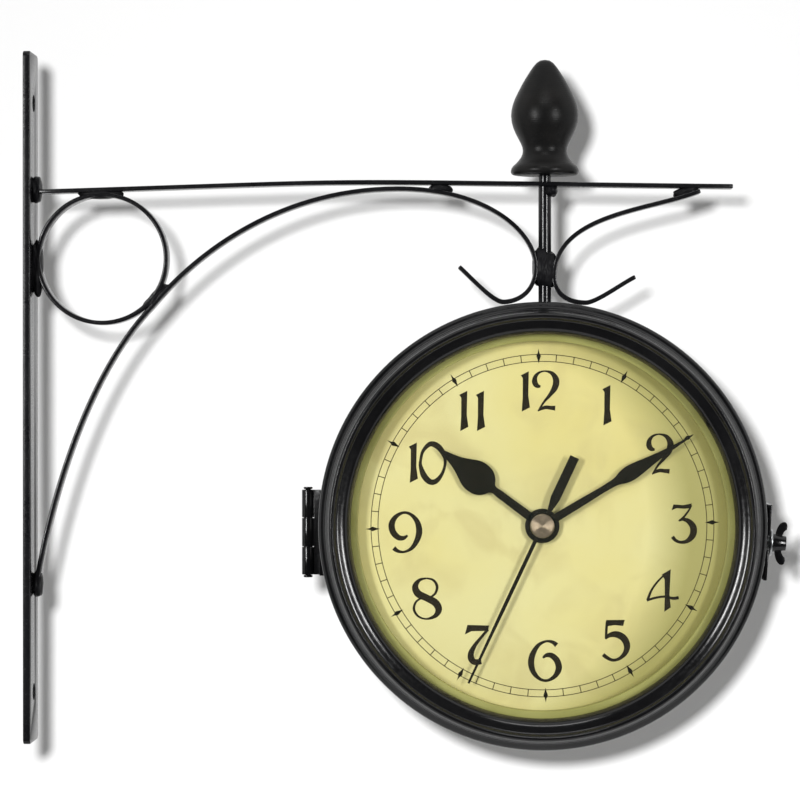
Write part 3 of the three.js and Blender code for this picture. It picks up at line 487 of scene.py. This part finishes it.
# ---------------------------------------------------------------- drum band
# A rolled steel band with turned-in flanges. The rear half is riveted to it and the rod hangs it;
# the front half closes against its other flange.
case_black = surface_finish("case_black", (0.004, 0.004, 0.0045), (0.008, 0.008, 0.0085), 45,
                            (0.11, 0.21), 700, 0.010, specular=0.38)
case_x = 239.0
case_z = -58.2155
case_middle = Matrix.Translation((case_x, 0, case_z))
band_profile = [(100, -10), (100, 10), (93, 10), (93, 9), (98.8, 9), (98.8, -9), (93, -9),
                (93, -10)]
finish_piece("drum_band_rolled", turned(band_profile, 192, ease=0.35), case_black,
             "bracket", ["drum_band"], crease=40, place=case_middle)

for number in (1, 2, 3):
    node = f"shell_rivet_{number}"
    finish_piece(node + "_eased", eased_copy(node, 0.5, 3), zinc_plate, "bracket",
                 [node])

# ---------------------------------------------------------------- case halves
# Each half is one spun steel shell: a side wall, a rolled lip, two raised beads and a cone that
# falls to the opening. Front and rear are alike; the front one is the hinged door.
shell_profile = [
    (100, 10.3), (100, 23.2), (100.5, 24.3), (101.3, 25.2), (101.75, 26.3), (101.75, 27.3),
    (101.2, 28.2), (100.2, 28.8), (99.35, 29.1), (98.75, 29.7), (98.55, 30.4), (98.35, 31.2),
    (97.9, 31.9), (97.35, 32.6), (97.15, 33.7), (97.1, 35.0), (96.95, 36.4), (96.7, 37.4),
    (96.3, 38.3), (95.6, 38.9), (94.8, 38.95), (94.1, 38.5), (93.75, 37.8), (93.45, 37.1),
    (92.9, 36.75), (92.2, 36.5), (91.4, 36.28), (90.6, 36.0), (89.8, 35.65), (89.0, 35.15),
    (88.3, 34.5), (87.7, 33.7), (87.2, 32.7), (86.9, 31.6), (86.8, 30.8), (86.8, 30.3),
    (87.6, 30.35), (90.8, 33.5), (94.6, 35.4), (96.0, 33.4), (98.1, 30.3), (99, 27), (99, 11.3),
    (93, 11.3), (93, 10.3),
]
sides = {"front": (case_middle, "front_case"),
         "rear": (case_middle @ Matrix.Rotation(math.pi, 4, "Z"), "bracket")}


def facing(profile):
    """A profile of (radius, depth) as (radius, y), for a piece that faces the camera."""
    return [(r, -depth) for r, depth in profile]


for side, (place, body) in sides.items():
    shell = turned(facing(shell_profile), 216, ease=0.12)
    finish_piece(side + "_shell_spun", shell, case_black, body,
                 [side + "_shell"], crease=45, place=place)

# ---------------------------------------------------------------- glass
# A disc of 2 mm float glass with a ground edge, held between the lip of the opening and the spacer.
# It is polished, so the finish's relief is unlinked.
glass_clear = surface_finish("glass_clear", (0.08, 0.10, 0.09), (0.05, 0.07, 0.06), 30,
                             (0.01, 0.05), 60, 0.002, specular=0.5)
glass_shader = glass_clear.node_tree.nodes["Principled BSDF"]
glass_shader.inputs["Alpha"].default_value = 0.06
glass_clear.node_tree.links.remove(glass_shader.inputs["Normal"].links[0])
glass_profile = [(0, 28), (97.1, 28), (97.4, 28.3), (97.4, 29.7), (97.1, 30), (0, 30)]
for side, (place, body) in sides.items():
    pane = turned(facing(glass_profile), 144, closed=False)
    finish_piece(side + "_glass_ground", pane, glass_clear, body,
                 [side + "_glass"], crease=30, place=place)

# ---------------------------------------------------------------- spacer ring
# A pressed steel ring with a flat foot on the dial and a narrow lip under the glass. It keeps the
# two apart and is sprayed in the dial's own cream, a shade darker.
spacer_cream = surface_finish("spacer_cream", (0.42, 0.41, 0.12), (0.33, 0.32, 0.08), 40,
                              (0.35, 0.55), 900, 0.02, specular=0.4)
spacer_profile = [(84, 21.8), (97.4, 21.8), (97.4, 22.8), (85, 22.8), (85, 26.9), (89, 26.9),
                  (89, 27.7), (84, 27.7)]
for side, (place, body) in sides.items():
    ring = turned(facing(spacer_profile), 160, ease=0.2)
    finish_piece(side + "_spacer_pressed", ring, spacer_cream, body,
                 [side + "_spacer_ring"], crease=40, place=place)

# ---------------------------------------------------------------- dial
# A thin steel disc printed in aged cream, with warm stains and cloudy patches. Its edge is darkened
# to a dull olive as painted shade for the bezel's shadow, widest away from the wall; the middle of
# that painted shade lies 40 mm nearer to the wall than the dial's.
dial_cream = surface_finish("dial_cream", (0.84, 0.78, 0.36), (0.81, 0.71, 0.25), 12,
                            (0.38, 0.55), 1800, 0.01, specular=0.35)
# Painted shade: the dial's edge turns olive outside a circle centred 40 mm towards the wall.
painted_shade_middle = (0.199, -0.0582)
dial_nodes = dial_cream.node_tree.nodes
dial_link = dial_cream.node_tree.links.new
dial_where = dial_nodes.new("ShaderNodeTexCoord")
dial_flat = dial_nodes.new("ShaderNodeMapping")
dial_flat.inputs["Scale"].default_value = (1, 0, 1)
dial_flat.inputs["Location"].default_value = (-painted_shade_middle[0], 0, -painted_shade_middle[1])
dial_reach = dial_nodes.new("ShaderNodeVectorMath")
dial_reach.operation = "LENGTH"
dial_cloud = dial_nodes.new("ShaderNodeTexNoise")
dial_cloud.inputs["Scale"].default_value = 34
dial_cloud.inputs["Detail"].default_value = 6
dial_cloud.inputs["Distortion"].default_value = 1.2
dial_stain = dial_nodes.new("ShaderNodeMapRange")
dial_stain.inputs["From Min"].default_value = 0.50
dial_stain.inputs["From Max"].default_value = 0.72
dial_stain.inputs["To Max"].default_value = 0.55
dial_painted_shade = dial_nodes.new("ShaderNodeMapRange")
dial_painted_shade.inputs["From Min"].default_value = 0.088
dial_painted_shade.inputs["From Max"].default_value = 0.108
dial_stained = dial_nodes.new("ShaderNodeMix")
dial_stained.data_type = "RGBA"
dial_stained.inputs["B"].default_value = (0.66, 0.57, 0.24, 1)
# The olive mixed in here is painted shade, standing for the bezel's shadow on the dial's edge.
dial_shaded = dial_nodes.new("ShaderNodeMix")
dial_shaded.data_type = "RGBA"
dial_shaded.inputs["B"].default_value = (0.45, 0.415, 0.135, 1)
dial_link(dial_where.outputs["Object"], dial_flat.inputs["Vector"])
dial_link(dial_flat.outputs[0], dial_reach.inputs[0])
dial_link(dial_reach.outputs["Value"], dial_painted_shade.inputs["Value"])
dial_link(dial_where.outputs["Object"], dial_cloud.inputs["Vector"])
dial_link(dial_cloud.outputs["Fac"], dial_stain.inputs["Value"])
dial_link(dial_stain.outputs[0], dial_stained.inputs["Factor"])
dial_link(dial_nodes["tint"].outputs["Result"], dial_stained.inputs["A"])
dial_link(dial_stained.outputs["Result"], dial_shaded.inputs["A"])
dial_link(dial_painted_shade.outputs[0], dial_shaded.inputs["Factor"])
dial_link(dial_shaded.outputs["Result"], dial_nodes["Principled BSDF"].inputs["Base Color"])
dial_profile = [(4.2, 20.7), (97.4, 20.7), (97.4, 21.5), (4.2, 21.5)]
for side, (place, body) in sides.items():
    disc = turned(facing(dial_profile), 160, ease=0.1)
    finish_piece(side + "_dial_printed", disc, dial_cream, body,
                 [side + "_dial"], crease=40, place=place)

# ---------------------------------------------------------------- minute track
# Two fine brown lines, sixty cross lines and twelve pointed marks, printed round the dial. The
# printing sits about a degree off upright, as in the photograph.
print_face = 21.5
print_proud = 0.04
print_lean = math.radians(-1.2)
track_brown = surface_finish("track_brown", (0.055, 0.043, 0.013), (0.10, 0.080, 0.028), 500,
                             (0.4, 0.6), 3000, 0.004, specular=0.15)
ink_brown = surface_finish("ink_brown", (0.014, 0.009, 0.002), (0.026, 0.017, 0.005), 260,
                           (0.35, 0.55), 2500, 0.004, specular=0.12)


def raised_face(shape, height):
    """A flat shape, thickened by a height towards the reader."""
    grown = bmesh.ops.extrude_face_region(shape, geom=shape.faces[:])["geom"]
    raised = [v for v in grown if isinstance(v, bmesh.types.BMVert)]
    bmesh.ops.translate(shape, verts=raised, vec=(0, -height, 0))
    bmesh.ops.recalc_face_normals(shape, faces=shape.faces)
    return shape


def flat_shape(outline):
    """A thin printed patch from its outline in dial millimetres (right, up)."""
    shape = bmesh.new()
    shape.faces.new([shape.verts.new((x, -print_face, z)) for x, z in outline])
    return raised_face(shape, print_proud)


def gathered(shapes):
    """Several shapes put together as one."""
    whole = bmesh.new()
    store = bpy.data.meshes.new("store")
    for shape in shapes:
        shape.to_mesh(store)
        whole.from_mesh(store)
        shape.free()
    bpy.data.meshes.remove(store)
    return whole


def turned_round(shape, angle):
    """The shape turned clockwise about the dial's middle."""
    shape.transform(Matrix.Rotation(angle, 4, "Y"))
    return shape


track_inner = 74.6
track_outer = 77.8
track_width = 0.36
bar_half = 0.2
mark_outline = [(0, 73.9), (0.45, 75.6), (1.05, 77.3), (0.4, 78.6), (0, 80.6), (-0.4, 78.6),
                (-1.05, 77.3), (-0.45, 75.6)]


def track_line(radius):
    """One of the track's two round lines, as a thin printed ring."""
    outer = radius + track_width
    front = print_face + print_proud
    return turned(facing([(radius, print_face), (outer, print_face), (outer, front),
                          (radius, front)]), 240)


for side, (place, body) in sides.items():
    lines = [track_line(track_inner), track_line(track_outer)]
    bar_top = track_outer + track_width
    for minute in range(60):
        bar = flat_shape([(-bar_half, track_inner), (bar_half, track_inner),
                          (bar_half, bar_top), (-bar_half, bar_top)])
        lines.append(turned_round(bar, math.radians(minute * 6) + print_lean))
    finish_piece(side + "_minute_track", gathered(lines), track_brown, body, [],
                 crease=30, place=place)
    marks = []
    for hour in range(12):
        marks.append(turned_round(flat_shape(mark_outline),
                                  math.radians(hour * 30) + print_lean))
    finish_piece(side + "_hour_marks", gathered(marks), ink_brown, body, [],
                 crease=30, place=place)

# ---------------------------------------------------------------- numbers
# Plain numbers one to twelve in an old high-contrast face, printed upright. Each figure is made of
# pen strokes, (right, up, width) in steps of the pen's grid, and of straight-sided patches.
pen_grid = 0.0465
pen_weight = 1.12
pen_least = 3
layer_step = 0.004
figure_strokes = {
    "0": [[(-120, 20, 22), (-97, 112, 25), (-30, 182, 40), (38, 168, 50), (92, 110, 44),
           (122, 20, 24), (100, -90, 24), (38, -176, 40), (-28, -186, 48), (-88, -122, 50),
           (-120, -30, 30), (-120, 20, 22)]],
    "2": [[(-48, 48, 16), (-82, 56, 38), (-104, 88, 46), (-100, 140, 34), (-62, 184, 18),
           (0, 199, 12), (66, 176, 32), (104, 112, 52), (92, 38, 50), (44, -34, 30),
           (-18, -108, 17), (-66, -186, 13)],
          [(-74, -192, 8), (-46, -172, 22), (0, -156, 30), (50, -160, 32), (96, -164, 40)]],
    "3": [[(84, 176, 10), (52, 120, 14), (6, 60, 17), (-30, 26, 20)],
          [(-44, 22, 10), (-4, 38, 24), (56, 18, 42), (100, -42, 56), (94, -116, 54),
           (44, -172, 36), (-20, -186, 24), (-72, -168, 26), (-104, -132, 30)]],
    "4": [[(14, 152, 12), (-52, 84, 15), (-108, 4, 17), (-146, -92, 22)],
          [(-154, -96, 18), (-70, -70, 18), (20, -58, 18), (98, -74, 24), (158, -68, 26)]],
    "5": [[(-78, 190, 18), (-84, 100, 20), (-88, 18, 18)],
          [(-92, 16, 10), (-54, 52, 36), (14, 62, 54), (84, 26, 58), (118, -46, 54),
           (100, -120, 40), (42, -176, 26), (-24, -190, 24), (-80, -164, 30),
           (-116, -136, 30)]],
    "6": [[(112, 150, 40), (72, 180, 28), (8, 188, 18), (-66, 150, 30), (-120, 66, 46),
           (-138, -22, 52), (-116, -112, 42), (-54, -180, 26), (20, -196, 22), (94, -154, 36),
           (132, -82, 52), (118, -6, 52), (68, 46, 46), (16, 52, 34), (-24, 26, 14)]],
    "7": [[(104, 158, 22), (44, 86, 22), (-24, 0, 32), (-62, -78, 48), (-58, -134, 54),
           (-24, -164, 50), (40, -158, 44)]],
    "8": [[(0, 197, 12), (-70, 178, 26), (-112, 116, 50), (-84, 46, 62), (0, 4, 58),
           (86, -44, 62), (118, -110, 56), (84, -172, 34), (0, -202, 14), (-80, -178, 16),
           (-124, -110, 20), (-106, -38, 16), (-54, 2, 14)],
          [(0, 197, 12), (66, 178, 18), (102, 118, 22), (86, 50, 18), (40, 12, 14)]],
}
figure_patches = {
    "1": [[(-44, 158), (35, 198), (30, -40), (46, -156), (-34, -197), (-25, -60), (-24, 130)]],
    "3": [[(-112, 126), (-94, 184), (0, 177), (86, 194), (70, 146), (10, 142), (-66, 146)]],
    "4": [[(-8, 158), (80, 210), (68, -40), (80, -164), (17, -206), (22, -50), (20, 110)]],
    "5": [[(-86, 202), (96, 204), (80, 144), (0, 152), (-76, 142)]],
    "7": [[(-122, 106), (-97, 200), (118, 195), (102, 142), (0, 140), (-60, 138)]],
}
figure_strokes["9"] = [[(-x, -z, width) for x, z, width in figure_strokes["6"][0]]]


def pen_stroke(points):
    """A flat stroke through its points, as wide at each as the pen is pressed there."""
    knots = [Vector(point) for point in points]
    smooth = []
    for number in range(len(knots) - 1):
        before = knots[max(number - 1, 0)]
        after = knots[min(number + 2, len(knots) - 1)]
        here = knots[number]
        there = knots[number + 1]
        pull = (there - before) / 6
        push = (after - here) / 6
        smooth += interpolate_bezier(here, here + pull, there - push, there, 7)[:-1]
    smooth.append(knots[-1])
    left = []
    right = []
    for number, point in enumerate(smooth):
        along = smooth[min(number + 1, len(smooth) - 1)] - smooth[max(number - 1, 0)]
        across = Vector((-along.y, along.x)).normalized() * (point.z * pen_weight + pen_least) / 2
        left.append((point.x + across.x, point.y + across.y))
        right.append((point.x - across.x, point.y - across.y))
    ribbon = bmesh.new()
    for first, second, third, fourth in zip(left, left[1:], right[1:], right):
        ribbon.faces.new([ribbon.verts.new((x, -print_face, z))
                          for x, z in (first, second, third, fourth)])
    bmesh.ops.remove_doubles(ribbon, verts=ribbon.verts, dist=0.01)
    return raised_face(ribbon, print_proud)


def figure_shapes(figure, right, up):
    """One figure's strokes and patches at its place on the dial, each a hair above the last."""
    parts = [pen_stroke(stroke) for stroke in figure_strokes.get(figure, [])]
    parts += [flat_shape(patch) for patch in figure_patches.get(figure, [])]
    for number, part in enumerate(parts):
        layer = 1 + layer_step * number
        part.transform(Matrix.Diagonal((pen_grid, layer, pen_grid, 1)))
        part.transform(Matrix.Translation((right, print_face * (layer - 1), up)))
    return parts


number_places = [
    (29.4, 54.8, [("1", 0)]), (53.4, 32.4, [("2", 0)]), (64.0, 1.2, [("3", 0)]),
    (54.7, -29.5, [("4", 0)]), (33.1, -52.3, [("5", 0)]), (1.4, -61.4, [("6", 0)]),
    (-29.5, -54.6, [("7", 0)]), (-52.6, -33.2, [("8", 0)]), (-62.4, -3.3, [("9", 0)]),
    (-51.9, 28.6, [("1", -6.8), ("0", 2.1)]), (-31.8, 52.2, [("1", -3.9), ("1", 3.7)]),
    (-1.5, 61.1, [("1", -6.2), ("2", 3.0)]),
]
for side, (place, body) in sides.items():
    figures = []
    for right, up, row in number_places:
        for figure, shift in row:
            figures += figure_shapes(figure, right + shift, up)
    finish_piece(side + "_numbers", gathered(figures), ink_brown, body, [],
                 crease=30, place=place)

# ---------------------------------------------------------------- behind the dial
# A zinc-plated ring holds the dial in the shell. The quartz movement hangs by its threaded bushing,
# with a rubber washer behind the dial and a thin nut in front; the knob on its back sets the time.
movement_black = surface_finish("movement_black", (0.020, 0.020, 0.021), (0.032, 0.032, 0.033),
                                120, (0.45, 0.62), 2600, 0.03, specular=0.4)
rubber_black = surface_finish("rubber_black", (0.020, 0.020, 0.020), (0.032, 0.031, 0.030), 200,
                              (0.75, 0.9), 3000, 0.03, specular=0.3)
battery_wrap = surface_finish("battery_wrap", (0.055, 0.085, 0.060), (0.070, 0.105, 0.074), 90,
                              (0.22, 0.34), 1200, 0.01, specular=0.5)
retaining_profile = [(89.4, 19.4), (98.7, 19.4), (98.7, 20.4), (89.4, 20.4)]
for side, (place, body) in sides.items():
    ring = turned(facing(retaining_profile), 144, ease=0.2)
    finish_piece(side + "_retaining_ring_pressed", ring, zinc_plate, body,
                 [side + "_retaining_ring"], crease=40, place=place)
    for node, finish, slot, width in (("rubber_washer", rubber_black, "washer_rubber", 0.15),
                                      ("fixing_nut", zinc_plate, "zinc_plate", 0.15),
                                      ("movement", movement_black, "movement_plastic", 0.6),
                                      ("battery", battery_wrap, "battery_sleeve", 0.4)):
        name = side + "_" + node
        finish_piece(name + "_eased", eased_copy(name, width), finish, body, [name])
    name = side + "_set_knob"
    finish_piece(name + "_eased", eased_copy(name, 0.3), movement_black, name,
                 [name])

# ---------------------------------------------------------------- hands
# Stamped aluminium hands, painted satin black: a spade hour hand, a slender spade minute hand and
# a needle with a bar for counterweight. They are pressed on one above the other.
hand_black = surface_finish("hand_black", (0.009, 0.007, 0.003), (0.014, 0.010, 0.005), 300,
                            (0.38, 0.55), 2200, 0.008, specular=0.06)
hour_outline = [(2.0, 0), (1.95, 12), (1.85, 24), (2.0, 28.0), (4.0, 29.4), (6.4, 32.2),
                (7.4, 36.2), (6.95, 40.0), (5.4, 43.4), (3.8, 46.6), (2.6, 49.8), (1.5, 54.0),
                (0.75, 57.4)]
minute_outline = [(2.0, 0), (1.75, 20), (1.6, 36), (1.9, 39.5), (3.0, 42.6), (3.55, 46.2),
                  (3.3, 50.0), (2.5, 55.5), (1.6, 62), (0.85, 70), (0.35, 77.5)]
hour_tip = 60
minute_tip = 80
hand_thick = 0.5
hand_round = 0.08


def stamped_hand(name, outline, tip, back):
    """A flat hand drawn pointing up from half its outline, its edges a little rounded."""
    drawing = bpy.data.curves.new(name, "CURVE")
    drawing.dimensions = "2D"
    drawing.fill_mode = "BOTH"
    drawing.extrude = hand_thick / 2 - hand_round
    drawing.bevel_depth = hand_round
    drawing.bevel_resolution = 1
    drawing.offset = -hand_round
    drawing.resolution_u = 8
    points = outline + [(0, tip)] + [(-x, z) for x, z in reversed(outline)]
    spline = drawing.splines.new("BEZIER")
    spline.bezier_points.add(len(points) - 1)
    for knot, (x, z) in zip(spline.bezier_points, points):
        knot.co = (x, z, 0)
        straight = (x, z) == (0, tip) or z <= 0
        knot.handle_left_type = knot.handle_right_type = "VECTOR" if straight else "AUTO"
    spline.use_cyclic_u = True
    holder = bpy.data.objects.new(name, drawing)
    bpy.context.scene.collection.objects.link(holder)
    bpy.context.view_layer.update()
    flat = bpy.data.meshes.new_from_object(
        holder.evaluated_get(bpy.context.evaluated_depsgraph_get()))
    bpy.data.objects.remove(holder)
    bpy.data.curves.remove(drawing)
    shape = bmesh.new()
    shape.from_mesh(flat)
    bpy.data.meshes.remove(flat)
    bmesh.ops.remove_doubles(shape, verts=shape.verts, dist=0.0005)
    shape.transform(Matrix.Rotation(math.pi / 2, 4, "X"))
    shape.transform(Matrix.Translation((0, -back - hand_thick / 2, 0)))
    return shape


hour_back = 23.7
minute_back = 24.5
second_back = 25.3
arbor = 11.5
hour_hub = [(2.2, arbor), (2.6, arbor), (2.6, hour_back), (7.6, hour_back), (7.85, 23.85),
            (7.85, 24.05), (7.6, 24.2), (2.2, 24.2)]
minute_hub = [(1.1, arbor), (1.9, arbor), (1.9, minute_back), (6.2, minute_back), (6.4, 24.65),
              (6.4, 24.85), (6.2, 25.0), (1.1, 25.0)]
second_outline = [(0.5, 79), (0.85, 40), (0.9, -7), (2.2, -14), (2.15, -34.6), (-2.15, -34.6),
                  (-2.2, -14), (-0.9, -7), (-0.85, 40), (-0.5, 79)]
pin_front = second_back + 0.3
hour_angle, minute_angle, second_angle = [math.radians(turn) for turn in (306.6, 58.9, 205.1)]
for side, (place, body) in sides.items():
    hour = gathered([stamped_hand("hour", hour_outline, hour_tip, hour_back),
                     turned(facing(hour_hub), 64)])
    minute = gathered([stamped_hand("minute", minute_outline, minute_tip, minute_back),
                       turned(facing(minute_hub), 64)])
    needle = bmesh.new()
    needle.faces.new([needle.verts.new((x, -second_back, z)) for x, z in second_outline])
    ease_edges(raised_face(needle, hand_thick), hand_round, 1, 60)
    pin = turned(facing([(0, arbor), (0.8, arbor), (0.8, pin_front), (0, pin_front)]), 32,
                 closed=False)
    second = gathered([needle, pin])
    for node, hand, angle in (("hour_hand", hour, hour_angle),
                              ("minute_hand", minute, minute_angle),
                              ("second_hand", second, second_angle)):
        name = side + "_" + node
        finish_piece(name + "_stamped", turned_round(hand, angle), hand_black, name,
                     [name], crease=32, place=place)

# The second hand's cap is copper, brushed in a circle, so the lamps draw a bow tie on it. The
# rings are centred by moving the pattern to the dial's middle.
cap_copper = surface_finish("cap_copper", (0.36, 0.29, 0.20), (0.29, 0.23, 0.15), 400,
                            (0.30, 0.40), 4000, 0.003, metallic=1.0)
cap_nodes = cap_copper.node_tree.nodes
cap_link = cap_copper.node_tree.links.new
cap_nodes["turn"].inputs["Location"].default_value = (-case_x / 1000, 0, -case_z / 1000)
cap_rings = cap_nodes.new("ShaderNodeTexWave")
cap_rings.wave_type = "RINGS"
cap_rings.rings_direction = "Y"
cap_rings.inputs["Scale"].default_value = 1500
cap_rings.inputs["Distortion"].default_value = 0.6
cap_relief = cap_nodes.new("ShaderNodeBump")
cap_relief.inputs["Distance"].default_value = 0.00003
cap_link(cap_nodes["turn"].outputs[0], cap_rings.inputs["Vector"])
cap_link(cap_rings.outputs["Fac"], cap_relief.inputs["Height"])
cap_link(cap_relief.outputs[0], cap_nodes["Principled BSDF"].inputs["Normal"])
cap_profile = [(0, 25.85), (5.35, 25.85), (5.5, 26.0), (5.5, 26.2), (5.35, 26.42), (5.1, 26.52),
               (4.7, 26.58), (0, 26.6)]
for side, (place, body) in sides.items():
    cap = turned(facing(cap_profile), 96, closed=False)
    finish_piece(side + "_second_cap", cap, cap_copper, side + "_second_hand", [],
                 crease=30, place=place)

# ---------------------------------------------------------------- hinge
# Two folded steel leaves with three knuckles on the wall side, and a steel pin with riveted ends
# and a thin collar in each gap. One leaf is welded to the band and the other to the door.
for node, body in (("hinge_leaf_case", "bracket"), ("hinge_leaf_door", "front_case")):
    finish_piece(node + "_eased", eased_copy(node, 0.25), case_black, body, [node])
hinge_middle = (131.6, -10.15, case_z - 3.6)
knuckle_gap = (6.53, 6.77)
collar_reach = 2.10
collar_bore = 1
collars = [turned([(collar_bore, end * knuckle_gap[0]), (collar_reach, end * knuckle_gap[0]),
                   (collar_reach, end * knuckle_gap[1]), (collar_bore, end * knuckle_gap[1])],
                  40, "Z", hinge_middle) for end in (-1, 1)]
finish_piece("hinge_pin_eased", gathered([eased_copy("hinge_pin", 0.3, 3)] + collars), case_black,
             "bracket", ["hinge_pin"])

# ---------------------------------------------------------------- latch
# A slotted steel strap riveted to the band reaches over the door's lip. The door's stud stands in
# the slot, and a washer and a black wing nut clamp the two together.
for node in ("latch_strap", "latch_rivet_1", "latch_rivet_2"):
    finish_piece(node + "_eased", eased_copy(node, 0.35), case_black, "bracket",
                 [node])
for node, width, body in (("latch_stud", 0.3, "front_case"),
                          ("latch_washer", 0.2, "latch_washer")):
    finish_piece(node + "_eased", eased_copy(node, width), zinc_plate, body, [node])
finish_piece("wing_nut_eased", eased_copy("wing_nut", 0.35, 3), case_black,
             "wing_nut", ["wing_nut"])
